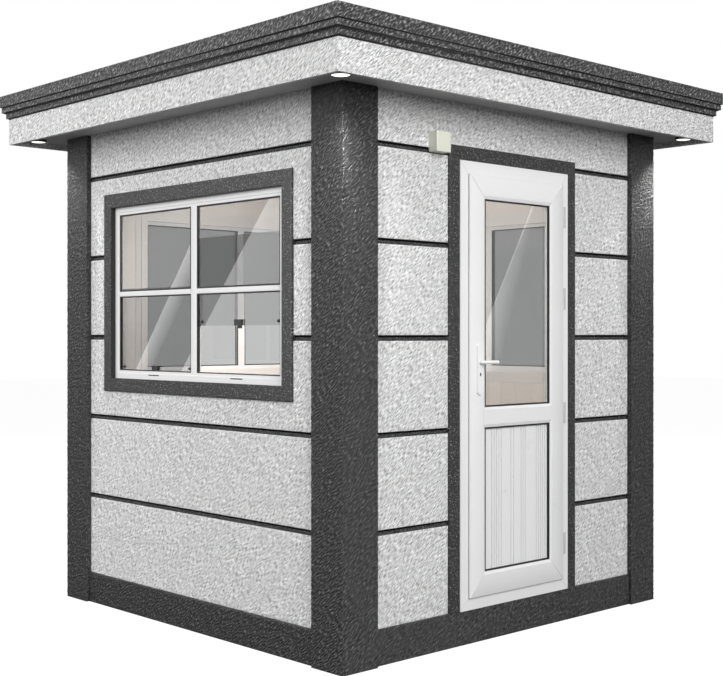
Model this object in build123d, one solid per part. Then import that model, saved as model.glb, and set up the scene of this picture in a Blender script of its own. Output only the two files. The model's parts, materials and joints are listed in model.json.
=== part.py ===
from build123d import *
import os

# Guard booth. Sizes are millimetres, heights are above the ground, +Z is up.
# The door side is the front and faces -Y, the service window faces -X.

# Body: square in plan over its corner posts
BODY_WIDTH = 2150
POST_FACE = 195
POST_PROUD = 24

# Wall build-up, from the outer boards to the inner lining
BOARD_THICK = 12
CORE_THICK = 60
LINING_THICK = 8
FIRST_COURSE = 394
COURSE_PITCH = 402
GROOVE_HEIGHT = 24
OVER_DOOR_HEIGHT = 187

# Base
PLINTH_HEIGHT = 150
PLINTH_PROUD = 10
FLOOR_THICK = 30
BEARER_WIDTH = 60
BEARER_COUNT = 3
BEARER_PITCH = 620

# Roof
EAVES_REACH = 215
SOFFIT_THICK = 10
FASCIA_THICK = 20
FASCIA_HEIGHT = 131
FASCIA_DROP = 27
CORNICE_HEIGHTS = (30, 28, 62)
CORNICE_REACHES = (12, 29, 36)
CORNICE_SHADOW = 5
CORNICE_SEAT = 60
ROOF_UPSTAND = 35
ROOF_FALL = 20

# Soffit downlights
DOWNLIGHT_RADIUS = 42
DOWNLIGHT_DROP = 14
DOWNLIGHT_RIM = 4
DOWNLIGHT_RECESS = 2
DOWNLIGHT_INSET = 108

# Windows: one clear opening serves all three, with a strip of board between its trim and each post
WINDOW_SIDE_STRIP = 142
WINDOW_HEIGHT = 850
WINDOW_HEAD_DROP = 382
WINDOW_TRIM_FACE = 66
TRIM_PROUD = 10
WINDOW_FRAME_FACE = 40
WINDOW_FRAME_DEPTH = 40
WINDOW_FRAME_SETBACK = 14
FRAME_ROUND = 3
MULLION_FACE = 46
GLASS_THICK = 20
GLASS_SETBACK = 16
DRAIN_WIDTH = 85
DRAIN_HEIGHT = 5
DRAIN_DEPTH = 4
DRAIN_RISE = 21
CASING_THICK = 22
CASING_LAP = 50
CASING_PROUD = 6

# Service window: fixed lights over two panes that lift in guides
SERVICE_FRAME_DEPTH = 14
TRANSOM_FACE = 24
TRANSOM_HEIGHT = 417
FIXED_GLASS_THICK = 5
FIXED_GLASS_SETBACK = 8
TRANSOM_DEPTH = 12
GUIDE_FACE = 18
GUIDE_DEPTH = 12
GUIDE_SLOT = 10
PANE_THICK = 5
PANE_HEIGHT = 403
PANE_LIFT = 218
PANE_CLEARANCE = 0.3
KNOB_RADIUS = 7
KNOB_REACH = 9
KNOB_EASE = 2
KNOB_INSET = 25
KNOB_HEIGHT = 18
CATCH_WIDTH = 50
CATCH_HEIGHT = 27
CATCH_REACH = 12
TONGUE_WIDTH = 25
TONGUE_HEIGHT = 13
TONGUE_PROUD = 2

# Door frame and its outside trim
DOOR_WIDTH = 752
DOOR_HEIGHT = 1976
DOOR_TRIM_FACE = 64
DOOR_JAMB_SHOWS = 49
DOOR_SILL_SHOWS = 53
DOOR_HEAD_SHOWS = 56
DOOR_FRAME_PROUD = 14

# Door leaf: a lip laps the frame and the body stands inside it
LIP_LAP = 21
LIP_THICK = 9
LEAF_GAP = 5
LEAF_SIDE_GAP = 12
LEAF_BODY_DEPTH = 37
STILE_FACE = 100
TOP_RAIL_FACE = 105
BOTTOM_RAIL_FACE = 107
MID_RAIL_FACE = 90
DOOR_PANEL_HEIGHT = 640
BEAD_FACE = 15
BEAD_DEPTH = 5
INFILL_THICK = 24
INFILL_SETBACK = 14
FLUTE_COUNT = 20
FLUTE_WIDTH = 6
FLUTE_DEPTH = 3

# Door hinges
HINGE_HEIGHT_SHARES = (0.09, 0.422, 0.712, 0.919)
HINGE_LENGTH = 100
KNUCKLE_RADIUS = 6
KNUCKLE_CLEARANCE = 1
PIN_RADIUS = 3
PIN_CLEARANCE = 0.3
HINGE_PLATE_WIDTH = 24
HINGE_PLATE_THICK = 2

# Door handle
PLATE_WIDTH = 35
PLATE_HEIGHT = 223
PLATE_THICK = 9
PLATE_EDGE = 57
PLATE_RISE = 1006
LEVER_RISE = 1037
SPINDLE_RADIUS = 5
NECK_RADIUS = 9
LEVER_RADIUS = 8
LEVER_REACH = 36
LEVER_LENGTH = 82
LEVER_BEND = 16
LEVER_EASE = 4
TURN_CLEARANCE = 0.3
KEYHOLE_DROP = 54
KEYHOLE_RADIUS = 4

# Junction box beside the door head
JUNCTION_WIDTH = 86
JUNCTION_HEIGHT = 88
JUNCTION_DEPTH = 50
JUNCTION_GAP = 34
JUNCTION_RISE = 41
JUNCTION_ROUND = 3

# Cuts run past the faces that they open by this much
OVERRUN = 20

# Planes, as distances from the middle of the booth
BODY_HALF = BODY_WIDTH / 2
BOARD_FACE = BODY_HALF - POST_PROUD
CORE_FACE = BOARD_FACE - BOARD_THICK
CORE_BACK = CORE_FACE - CORE_THICK
ROOM_HALF = CORE_BACK - LINING_THICK
BAY_HALF = BODY_HALF - POST_FACE
TRIM_FACE = BOARD_FACE + TRIM_PROUD
WINDOW_HALF = BAY_HALF - WINDOW_SIDE_STRIP - WINDOW_TRIM_FACE
FASCIA_HALF = BODY_HALF + EAVES_REACH
ROOF_HALF = FASCIA_HALF - FASCIA_THICK

# Heights
DOOR_HEAD = PLINTH_HEIGHT + DOOR_HEIGHT
SOFFIT_LEVEL = DOOR_HEAD + DOOR_TRIM_FACE + OVER_DOOR_HEIGHT
WALL_TOP = SOFFIT_LEVEL + SOFFIT_THICK
FASCIA_FOOT = SOFFIT_LEVEL - FASCIA_DROP
FASCIA_TOP = FASCIA_FOOT + FASCIA_HEIGHT
ROOF_TOP = FASCIA_TOP + sum(CORNICE_HEIGHTS)
WINDOW_HEAD = SOFFIT_LEVEL - WINDOW_HEAD_DROP
WINDOW_FOOT = WINDOW_HEAD - WINDOW_HEIGHT

# Walls are drawn as the front one and turned to their side
SIDES = {"front": Rot(Z=0), "right": Rot(Z=90), "back": Rot(Z=180), "left": Rot(Z=270)}
WINDOW_SIDES = ("left", "back", "right")
FIXED_SIDES = ("back", "right")


def block(x, y, z):
    """Box between a low and a high value on each axis."""
    spans = (x, y, z)
    middle = [(low + high) / 2 for low, high in spans]
    return Pos(*middle) * Box(*[high - low for low, high in spans])


def slab(x, outer, inner, z):
    """Box of the front wall between two distances from the middle of the booth."""
    return block(x, (-outer, -inner), z)


def both(half):
    return (-half, half)


def grown(span, by):
    return (span[0] - by, span[1] + by)


def ring(x, z, face, outer, inner):
    """Rectangular frame of one face width between two distances."""
    hole = slab(grown(x, -face), outer + OVERRUN, inner - OVERRUN, grown(z, -face))
    return slab(x, outer, inner, z) - hole


def node(*shapes):
    """All the solids of one sub-part."""
    return Compound([solid for shape in shapes for solid in shape.solids()])


def on_sides(sides, make):
    """One like piece on each of several sides."""
    return node(*[SIDES[side] * make() for side in sides])


# Base

def plinth():
    return slab(both(BAY_HALF), BOARD_FACE + PLINTH_PROUD, CORE_BACK, (0, PLINTH_HEIGHT))


def corner_post():
    """L-section that closes the corner between two walls, drawn at the front left."""
    leg = (-BODY_HALF, -BAY_HALF)
    tall = (0, WALL_TOP)
    inside = (-CORE_BACK, -BAY_HALF + OVERRUN)
    return block(leg, leg, tall) - block(inside, inside, grown(tall, OVERRUN))


def floor_panel():
    top = PLINTH_HEIGHT
    return block(both(CORE_BACK), both(CORE_BACK), (top - FLOOR_THICK, top))


def floor_bearers():
    bearer = block(both(CORE_BACK), both(BEARER_WIDTH / 2), (0, PLINTH_HEIGHT - FLOOR_THICK))
    first = -BEARER_PITCH * (BEARER_COUNT - 1) / 2
    return [Pos(0, first + BEARER_PITCH * i, 0) * bearer for i in range(BEARER_COUNT)]


# Walls

WINDOW_X = both(WINDOW_HALF)
WINDOW_Z = (WINDOW_FOOT, WINDOW_HEAD)
DOOR_X = both(DOOR_WIDTH / 2)
DOOR_Z = (PLINTH_HEIGHT, DOOR_HEAD)
WALL_Z = (PLINTH_HEIGHT, WALL_TOP)


def wall_core(x, z):
    return slab(x, CORE_FACE, CORE_BACK, z)


def window_wall():
    return wall_core(both(BAY_HALF), WALL_Z) - wall_hole(WINDOW_X, WINDOW_Z)


def wall_hole(x, z):
    """Cut right through a wall from its boards to its lining."""
    return slab(x, BODY_HALF, ROOM_HALF - OVERRUN, z)


def courses():
    """Low and high edge of each course of boards, with an open groove between them."""
    room = SOFFIT_LEVEL - PLINTH_HEIGHT - FIRST_COURSE
    count = int(room / COURSE_PITCH) + 1
    grooves = [PLINTH_HEIGHT + FIRST_COURSE + COURSE_PITCH * i for i in range(count)]
    lows = [PLINTH_HEIGHT] + [middle + GROOVE_HEIGHT / 2 for middle in grooves]
    highs = [middle - GROOVE_HEIGHT / 2 for middle in grooves] + [WALL_TOP]
    return list(zip(lows, highs))


def boards(x, z):
    """Courses of one wall, cut round what stands in the hole x by z."""
    hole = wall_hole(x, z)
    return [slab(both(BAY_HALF), BOARD_FACE, CORE_FACE, course) - hole for course in courses()]


def lining(half, x, z):
    sheet = slab(both(half), CORE_BACK, ROOM_HALF, (PLINTH_HEIGHT, SOFFIT_LEVEL))
    return sheet - wall_hole(x, z)


def ceiling_lining():
    return block(both(CORE_BACK), both(CORE_BACK), (SOFFIT_LEVEL, WALL_TOP))


# Windows

FRAME_OUTER = BOARD_FACE - WINDOW_FRAME_SETBACK
LIGHT_HALF = WINDOW_HALF - WINDOW_FRAME_FACE
LIGHT_Z = grown(WINDOW_Z, -WINDOW_FRAME_FACE)
LIGHTS = ((-LIGHT_HALF, -MULLION_FACE / 2), (MULLION_FACE / 2, LIGHT_HALF))
TRANSOM_Z = grown((WINDOW_FOOT + TRANSOM_HEIGHT,) * 2, TRANSOM_FACE / 2)


def window_trim():
    x = grown(WINDOW_X, WINDOW_TRIM_FACE)
    z = grown(WINDOW_Z, WINDOW_TRIM_FACE)
    return ring(x, z, WINDOW_TRIM_FACE, TRIM_FACE, CORE_FACE)


def window_frame(depth=WINDOW_FRAME_DEPTH):
    """Welded frame with a centre mullion, its front edges eased and its sill drained by slots."""
    inner = FRAME_OUTER - depth
    frame = slab(WINDOW_X, FRAME_OUTER, inner, WINDOW_Z)
    for light in LIGHTS:
        frame -= slab(light, FRAME_OUTER + OVERRUN, inner - OVERRUN, LIGHT_Z)
    front = frame.faces().sort_by(Axis.Y)[0]
    edges = [edge for wire in front.inner_wires() for edge in wire.edges()]
    frame = fillet(edges, FRAME_ROUND)
    drain_z = grown((WINDOW_FOOT + DRAIN_RISE,) * 2, DRAIN_HEIGHT / 2)
    for light in LIGHTS:
        drain_x = grown((sum(light) / 2,) * 2, DRAIN_WIDTH / 2)
        frame -= slab(drain_x, FRAME_OUTER + OVERRUN, FRAME_OUTER - DRAIN_DEPTH, drain_z)
    return frame


def window_glass():
    outer = FRAME_OUTER - GLASS_SETBACK
    return [slab(light, outer, outer - GLASS_THICK, LIGHT_Z) for light in LIGHTS]


def window_casing(frame_depth=WINDOW_FRAME_DEPTH):
    """Boards that line the opening behind the frame and lap the wall lining."""
    reveal = ring(WINDOW_X, WINDOW_Z, CASING_THICK, FRAME_OUTER - frame_depth, ROOM_HALF)
    x = grown(WINDOW_X, CASING_LAP)
    z = grown(WINDOW_Z, CASING_LAP)
    lap = ring(x, z, CASING_THICK + CASING_LAP, ROOM_HALF, ROOM_HALF - CASING_PROUD)
    return reveal + lap


def service_frame():
    """The common window frame, shallower, with a transom across both lights."""
    bar = slab(both(LIGHT_HALF), FRAME_OUTER - FRAME_ROUND, FRAME_OUTER - TRANSOM_DEPTH, TRANSOM_Z)
    return window_frame(SERVICE_FRAME_DEPTH) + bar


def service_glass():
    """Fixed upper lights, over the transom."""
    outer = FRAME_OUTER - FIXED_GLASS_SETBACK
    z = (TRANSOM_Z[1], LIGHT_Z[1])
    return [slab(light, outer, outer - FIXED_GLASS_THICK, z) for light in LIGHTS]


GUIDE_OUTER = FRAME_OUTER - SERVICE_FRAME_DEPTH
GUIDE_Z = grown(WINDOW_Z, -CASING_THICK)
PANE_OUTER = GUIDE_OUTER - (GUIDE_DEPTH - PANE_THICK) / 2


def service_guides():
    """Slotted channels behind the frame, on both sides of each light, full height."""
    guides = []
    for left, right in LIGHTS:
        slot_outer = PANE_OUTER + PANE_CLEARANCE
        slot_inner = PANE_OUTER - PANE_THICK - PANE_CLEARANCE
        slot = slab(grown((left, right), GUIDE_SLOT), slot_outer, slot_inner, grown(GUIDE_Z, OVERRUN))
        for x in ((left - GUIDE_FACE, left), (right, right + GUIDE_FACE)):
            guides.append(slab(x, GUIDE_OUTER, GUIDE_OUTER - GUIDE_DEPTH, GUIDE_Z) - slot)
    return guides


def pane_foot(light):
    """The left pane is down and the right one stands lifted."""
    return LIGHT_Z[0] + (PANE_LIFT if light is LIGHTS[1] else 0)


def lifting_panes():
    panes = []
    for light in LIGHTS:
        x = grown(light, GUIDE_SLOT - PANE_CLEARANCE)
        foot = pane_foot(light)
        panes.append(slab(x, PANE_OUTER, PANE_OUTER - PANE_THICK, (foot, foot + PANE_HEIGHT)))
    return panes


def pane_grips():
    """Two finger knobs and a catch on each lifting pane, the catch's tongue under the pane."""
    grips = []
    for light in LIGHTS:
        foot = pane_foot(light)
        for x in grown(light, -KNOB_INSET):
            knob = Rot(X=90) * Cylinder(KNOB_RADIUS, KNOB_REACH)
            place = Pos(x, -PANE_OUTER - KNOB_REACH / 2, foot + KNOB_HEIGHT)
            grips.append(place * chamfer(knob.edges().sort_by(Axis.Y)[0], KNOB_EASE))
        middle = (sum(light) / 2,) * 2
        catch_z = (foot, foot + CATCH_HEIGHT)
        catch = slab(grown(middle, CATCH_WIDTH / 2), PANE_OUTER + CATCH_REACH, PANE_OUTER, catch_z)
        tongue_x = grown(middle, TONGUE_WIDTH / 2)
        tongue_z = (foot - TONGUE_HEIGHT, foot)
        tongue = slab(tongue_x, PANE_OUTER + TONGUE_PROUD, PANE_OUTER - PANE_THICK, tongue_z)
        grips.append(catch + tongue)
    return grips


# Door frame

DOOR_FRAME_FRONT = BOARD_FACE + DOOR_FRAME_PROUD
LIP_X = grown(DOOR_X, -DOOR_JAMB_SHOWS)
LIP_Z = (DOOR_Z[0] + DOOR_SILL_SHOWS, DOOR_Z[1] - DOOR_HEAD_SHOWS)


def door_trim():
    x = grown(DOOR_X, DOOR_TRIM_FACE)
    z = (PLINTH_HEIGHT, DOOR_HEAD + DOOR_TRIM_FACE)
    return slab(x, TRIM_FACE, CORE_FACE, z) - wall_hole(DOOR_X, (0, DOOR_HEAD))


def door_frame():
    """Frame as deep as the wall, with a sill, open just inside the leaf's lip."""
    frame = slab(DOOR_X, DOOR_FRAME_FRONT, ROOM_HALF, DOOR_Z)
    frame -= wall_hole(grown(LIP_X, -LIP_LAP), grown(LIP_Z, -LIP_LAP))
    front = frame.faces().sort_by(Axis.Y)[0]
    return fillet(front.outer_wire().edges(), FRAME_ROUND)


# Door leaf

LEAF_X = grown(LIP_X, -LIP_LAP - LEAF_SIDE_GAP)
LEAF_Z = grown(LIP_Z, -LIP_LAP - LEAF_SIDE_GAP)
LIP_BACK = DOOR_FRAME_FRONT + LEAF_GAP
LEAF_FRONT = LIP_BACK + LIP_THICK
LEAF_BACK = LIP_BACK - LEAF_BODY_DEPTH
PANEL_X = grown(LIP_X, -STILE_FACE)
PANEL_Z = (LIP_Z[0] + BOTTOM_RAIL_FACE, LIP_Z[0] + BOTTOM_RAIL_FACE + DOOR_PANEL_HEIGHT)
DOOR_GLASS_Z = (PANEL_Z[1] + MID_RAIL_FACE, LIP_Z[1] - TOP_RAIL_FACE)
INFILL_FRONT = LEAF_FRONT - INFILL_SETBACK
INFILL_BACK = INFILL_FRONT - INFILL_THICK
LEVER_X = LIP_X[0] + PLATE_EDGE
LEVER_Z = LIP_Z[0] + LEVER_RISE


def along_y(radius, outer, inner):
    """Round bar or bore across the front wall, on the lever's axis."""
    bar = Rot(X=90) * Cylinder(radius, outer - inner)
    return Pos(LEVER_X, -(outer + inner) / 2, LEVER_Z) * bar


def bead_slope(x, z):
    """Sloped cut round an opening of the leaf, which leaves a glazing bead."""
    sections = []
    for out, by in ((LEAF_FRONT, BEAD_FACE), (LEAF_FRONT - BEAD_DEPTH, 0)):
        wide = grown(x, by)
        tall = grown(z, by)
        outline = Rot(X=90) * Rectangle(wide[1] - wide[0], tall[1] - tall[0])
        sections.append(Pos(sum(x) / 2, -out, sum(z) / 2) * outline)
    return loft(sections)


def door_leaf():
    leaf = slab(LIP_X, LEAF_FRONT, LIP_BACK, LIP_Z)
    leaf = fillet(leaf.faces().sort_by(Axis.Y)[0].edges(), FRAME_ROUND)
    leaf += slab(LEAF_X, LIP_BACK, LEAF_BACK, LEAF_Z)
    for z in (PANEL_Z, DOOR_GLASS_Z):
        leaf -= slab(PANEL_X, LEAF_FRONT + OVERRUN, LEAF_BACK - OVERRUN, z)
        leaf -= bead_slope(PANEL_X, z)
    bore = along_y(SPINDLE_RADIUS + TURN_CLEARANCE, LEAF_FRONT + OVERRUN, LEAF_BACK - OVERRUN)
    return leaf - bore


def door_glass():
    return slab(PANEL_X, INFILL_FRONT, INFILL_BACK, DOOR_GLASS_Z)


def door_panel():
    """Lower panel with upright flutes on both faces."""
    wide = PANEL_X[1] - PANEL_X[0]
    section = Rectangle(wide, INFILL_THICK)
    for face in both(INFILL_THICK / 2):
        flutes = GridLocations(wide / FLUTE_COUNT, 0, FLUTE_COUNT, 1)
        section -= Pos(0, face) * flutes * Rectangle(FLUTE_WIDTH, FLUTE_DEPTH * 2)
    middle = (INFILL_FRONT + INFILL_BACK) / 2
    return Pos(0, -middle, PANEL_Z[0]) * extrude(section, DOOR_PANEL_HEIGHT)


# Hinges

HINGE_X = LIP_X[1] + KNUCKLE_RADIUS + KNUCKLE_CLEARANCE
HINGE_Y = -(DOOR_FRAME_FRONT + HINGE_PLATE_THICK + KNUCKLE_RADIUS)
KNUCKLE_LENGTH = HINGE_LENGTH / 3


def hinge_places():
    tall = LIP_Z[1] - LIP_Z[0]
    return [Pos(HINGE_X, HINGE_Y, LIP_Z[0] + tall * share) for share in HINGE_HEIGHT_SHARES]


def frame_hinge():
    """Middle knuckle on a plate, with the pin through it."""
    knuckle = Cylinder(KNUCKLE_RADIUS, KNUCKLE_LENGTH - KNUCKLE_CLEARANCE)
    pin = Cylinder(PIN_RADIUS, HINGE_LENGTH)
    web_y = (0, KNUCKLE_RADIUS + HINGE_PLATE_THICK)
    web_z = both((KNUCKLE_LENGTH - KNUCKLE_CLEARANCE) / 2)
    web = block((0, KNUCKLE_RADIUS), web_y, web_z)
    plate_y = (KNUCKLE_RADIUS, KNUCKLE_RADIUS + HINGE_PLATE_THICK)
    plate = block((0, HINGE_PLATE_WIDTH), plate_y, both(HINGE_LENGTH / 2))
    return knuckle + pin + web + plate


def leaf_hinge():
    """End knuckles, each with a web to the edge of the leaf's lip."""
    bore = Cylinder(PIN_RADIUS + PIN_CLEARANCE, HINGE_LENGTH + OVERRUN)
    web_y = (-LEAF_FRONT - HINGE_Y + FRAME_ROUND, -LIP_BACK - HINGE_Y)
    web_z = both((KNUCKLE_LENGTH - KNUCKLE_CLEARANCE) / 2)
    web = block((-KNUCKLE_RADIUS - KNUCKLE_CLEARANCE, 0), web_y, web_z)
    knuckle = Cylinder(KNUCKLE_RADIUS, KNUCKLE_LENGTH - KNUCKLE_CLEARANCE) + web - bore
    return [Pos(0, 0, z) * knuckle for z in both(KNUCKLE_LENGTH)]


# Handle

def handle_plates():
    """Back plates on both faces of the leaf, with a keyhole under the lever."""
    middle = LIP_Z[0] + PLATE_RISE
    outline = RectangleRounded(PLATE_WIDTH, PLATE_HEIGHT, PLATE_WIDTH / 2 - FRAME_ROUND)
    outline -= Pos(0, LEVER_Z - middle) * Circle(NECK_RADIUS + TURN_CLEARANCE)
    outline -= Pos(0, LEVER_Z - middle - KEYHOLE_DROP) * Circle(KEYHOLE_RADIUS)
    plate = Rot(X=90) * extrude(outline, PLATE_THICK)
    front = Pos(LEVER_X, -LEAF_FRONT, middle) * plate
    back = Pos(LEVER_X, PLATE_THICK - LEAF_BACK, middle) * plate
    return [front, back]


def lever_arm():
    """Round bar turned in two mitres from the neck towards the hinges, its end eased."""
    bend = LEVER_REACH - LEVER_BEND
    tip = LEVER_LENGTH + LEVER_RADIUS
    path = Polyline((0, 0, 0), (0, -bend, 0), (LEVER_BEND, -LEVER_REACH, 0), (tip, -LEVER_REACH, 0))
    arm = sweep(Plane.XZ * Circle(LEVER_RADIUS), path=path, transition=Transition.RIGHT)
    arm = chamfer(arm.faces().sort_by(Axis.X)[-1].edges(), LEVER_EASE)
    neck = Pos(0, -bend / 2, 0) * Rot(X=90) * Cylinder(NECK_RADIUS, bend)
    return neck + arm


def door_lever():
    """Inside and outside levers on one spindle."""
    arm = lever_arm()
    outside = Pos(LEVER_X, -LEAF_FRONT, LEVER_Z) * arm
    inside = Pos(LEVER_X, -LEAF_BACK, LEVER_Z) * mirror(arm, Plane.XZ)
    return outside + inside + along_y(SPINDLE_RADIUS, LEAF_FRONT, LEAF_BACK)


# Roof

def body_plan():
    """Plan outline of boards and posts."""
    plan = Rectangle(BOARD_FACE * 2, BOARD_FACE * 2)
    corners = GridLocations(BODY_WIDTH - POST_FACE, BODY_WIDTH - POST_FACE, 2, 2)
    return plan + corners * Rectangle(POST_FACE, POST_FACE)


def soffit():
    sheet = Rectangle(ROOF_HALF * 2, ROOF_HALF * 2) - body_plan()
    return Pos(0, 0, SOFFIT_LEVEL) * extrude(sheet, SOFFIT_THICK)


def downlights():
    """Round fittings under the soffit's corners, each with a rim round its recessed lens."""
    low = SOFFIT_LEVEL - DOWNLIGHT_DROP
    corner = FASCIA_HALF - DOWNLIGHT_INSET
    fitting = Pos(0, 0, low) * extrude(Circle(DOWNLIGHT_RADIUS), DOWNLIGHT_DROP)
    fitting -= Pos(0, 0, low) * extrude(Circle(DOWNLIGHT_RADIUS - DOWNLIGHT_RIM), DOWNLIGHT_RECESS)
    return [place * fitting for place in GridLocations(corner * 2, corner * 2, 2, 2)]


def square_ring(half, inner, z):
    low, high = z
    outline = Rectangle(half * 2, half * 2) - Rectangle(inner * 2, inner * 2)
    return Pos(0, 0, low) * extrude(outline, high - low)


def roof_panel():
    return block(both(ROOF_HALF), both(ROOF_HALF), (WALL_TOP, FASCIA_TOP))


def fascia():
    return square_ring(FASCIA_HALF, ROOF_HALF, (FASCIA_FOOT, FASCIA_TOP))


CORNICE_INNER = FASCIA_HALF - CORNICE_SEAT


def cornice():
    """Stepped moulding round the roof edge, each step over a shadow line."""
    points = [(CORNICE_INNER, ROOF_TOP), (CORNICE_INNER, FASCIA_TOP)]
    low = FASCIA_TOP
    for reach, height in zip(CORNICE_REACHES, CORNICE_HEIGHTS):
        out = FASCIA_HALF + reach
        points.append((out - CORNICE_SHADOW * 2, low))
        points.append((out - CORNICE_SHADOW * 2, low + CORNICE_SHADOW))
        points.append((out, low + CORNICE_SHADOW))
        points.append((out, low + height))
        low += height
    profile = make_face(Polyline(*[(0, -out, z) for out, z in points], close=True))
    half = CORNICE_INNER
    path = Polyline((0, -half), (half, -half), (half, half), (-half, half), (-half, -half), close=True)
    return sweep(profile, path=path, transition=Transition.RIGHT)


def roof_cover():
    """Deck inside the cornice, with a fall towards the back."""
    high = ROOF_TOP - ROOF_UPSTAND
    half = CORNICE_INNER
    outline = [(-half, FASCIA_TOP), (half, FASCIA_TOP), (half, high - ROOF_FALL), (-half, high)]
    section = make_face(Polyline(*[(-half, y, z) for y, z in outline], close=True))
    return extrude(section, half * 2, dir=(1, 0, 0))


# Fixtures

def junction_box():
    right = DOOR_X[0] - DOOR_TRIM_FACE - JUNCTION_GAP
    low = DOOR_HEAD + DOOR_TRIM_FACE + JUNCTION_RISE - JUNCTION_HEIGHT
    x = (right - JUNCTION_WIDTH, right)
    box = slab(x, BOARD_FACE + JUNCTION_DEPTH, BOARD_FACE, (low, low + JUNCTION_HEIGHT))
    front = box.faces().sort_by(Axis.Y)[0]
    return fillet(front.edges(), JUNCTION_ROUND)


def sub_parts():
    """Each node's name and its solids."""
    half = BAY_HALF
    door_half = DOOR_WIDTH / 2
    trim_x = grown(WINDOW_X, WINDOW_TRIM_FACE)
    trim_z = grown(WINDOW_Z, WINDOW_TRIM_FACE)
    door_trim_x = grown(DOOR_X, DOOR_TRIM_FACE)
    door_trim_z = (0, DOOR_HEAD + DOOR_TRIM_FACE)
    parts = {
        "floor_panel": node(floor_panel()),
        "floor_bearers": node(*floor_bearers()),
        "front_wall_left": node(wall_core((-half, -door_half), WALL_Z)),
        "front_wall_right": node(wall_core((door_half, half), WALL_Z)),
        "front_wall_over_door": node(wall_core(DOOR_X, (DOOR_HEAD, WALL_TOP))),
        "front_wall_boards": node(*boards(door_trim_x, door_trim_z)),
        "front_wall_lining": node(lining(CORE_BACK, DOOR_X, DOOR_Z)),
        "ceiling_lining": node(ceiling_lining()),
        "door_trim": node(door_trim()),
        "door_frame": node(door_frame()),
        "door_leaf": node(door_leaf()),
        "door_glass": node(door_glass()),
        "door_panel": node(door_panel()),
        "door_hinges_frame_side": node(*[place * frame_hinge() for place in hinge_places()]),
        "door_hinges_leaf_side": node(
            *[place * knuckle for place in hinge_places() for knuckle in leaf_hinge()]
        ),
        "door_handle_plates": node(*handle_plates()),
        "door_lever": node(door_lever()),
        "soffit": node(soffit()),
        "soffit_downlights": node(*downlights()),
        "roof_panel": node(roof_panel()),
        "fascia": node(fascia()),
        "cornice": node(cornice()),
        "roof_cover": node(roof_cover()),
        "junction_box": node(junction_box()),
    }
    parts["corner_posts"] = on_sides(SIDES, corner_post)
    parts["plinths"] = on_sides(SIDES, plinth)
    parts["window_trims"] = on_sides(WINDOW_SIDES, window_trim)
    parts["window_casings"] = node(
        on_sides(FIXED_SIDES, window_casing), SIDES["left"] * window_casing(SERVICE_FRAME_DEPTH)
    )
    for side in WINDOW_SIDES:
        turn = SIDES[side]
        lining_half = CORE_BACK if side == "back" else ROOM_HALF
        parts[f"{side}_wall"] = node(turn * window_wall())
        parts[f"{side}_wall_boards"] = node(*[turn * board for board in boards(trim_x, trim_z)])
        parts[f"{side}_wall_lining"] = node(turn * lining(lining_half, WINDOW_X, WINDOW_Z))
    parts["fixed_window_frames"] = on_sides(FIXED_SIDES, window_frame)
    parts["fixed_window_glass"] = node(
        *[SIDES[side] * pane for side in FIXED_SIDES for pane in window_glass()]
    )
    turn = SIDES["left"]
    parts["service_window_frame"] = node(turn * service_frame())
    parts["service_window_glass"] = node(*[turn * pane for pane in service_glass()])
    parts["service_window_guides"] = node(*[turn * guide for guide in service_guides()])
    parts["service_window_lifting_panes"] = node(*[turn * pane for pane in lifting_panes()])
    parts["service_window_grips"] = node(*[turn * grip for grip in pane_grips()])
    return parts


os.makedirs("parts", exist_ok=True)
for name, shape in sub_parts().items():
    export_step(shape, f"parts/{name}.step")
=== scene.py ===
import json
import math

import bmesh
import bpy
import numpy as np
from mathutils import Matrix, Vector


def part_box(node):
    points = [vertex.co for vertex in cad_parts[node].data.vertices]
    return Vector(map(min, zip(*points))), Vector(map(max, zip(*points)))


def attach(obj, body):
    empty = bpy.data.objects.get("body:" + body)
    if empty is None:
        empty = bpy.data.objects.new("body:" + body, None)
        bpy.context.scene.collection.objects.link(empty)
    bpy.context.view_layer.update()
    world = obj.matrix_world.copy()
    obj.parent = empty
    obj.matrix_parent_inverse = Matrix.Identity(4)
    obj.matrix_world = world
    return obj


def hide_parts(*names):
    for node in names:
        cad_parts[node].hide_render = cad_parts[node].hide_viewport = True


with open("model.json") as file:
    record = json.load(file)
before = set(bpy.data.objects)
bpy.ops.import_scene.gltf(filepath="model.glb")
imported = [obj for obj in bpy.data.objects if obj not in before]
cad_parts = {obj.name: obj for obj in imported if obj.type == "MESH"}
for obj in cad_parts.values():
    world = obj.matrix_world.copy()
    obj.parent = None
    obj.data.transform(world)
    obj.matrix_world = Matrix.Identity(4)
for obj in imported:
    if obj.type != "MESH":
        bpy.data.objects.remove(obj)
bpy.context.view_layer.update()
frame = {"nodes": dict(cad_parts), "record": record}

# Guard booth, dressed round its solids. Metres, +Z up, door side faces -Y, service window faces -X.

# Walls: the ways to the right and outwards, as seen from outside
WALLS = {
    "front": ((1, 0), (0, -1)),
    "right": ((0, 1), (1, 0)),
    "back": ((-1, 0), (0, 1)),
    "left": ((0, -1), (-1, 0)),
}
WINDOW_SIDES = ("left", "back", "right")
FIXED_SIDES = ("back", "right")
LOW, HIGH = 0, 1

# Viewpoint of the photograph
CAMERA_PLACE = (-4.4404, -4.8281, 1.3665)
CAMERA_YAW = -43.5275
CAMERA_LENS = 63.04
CAMERA_SENSOR = 36
CAMERA_SHIFT = (-0.02434, -0.00602)

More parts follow.
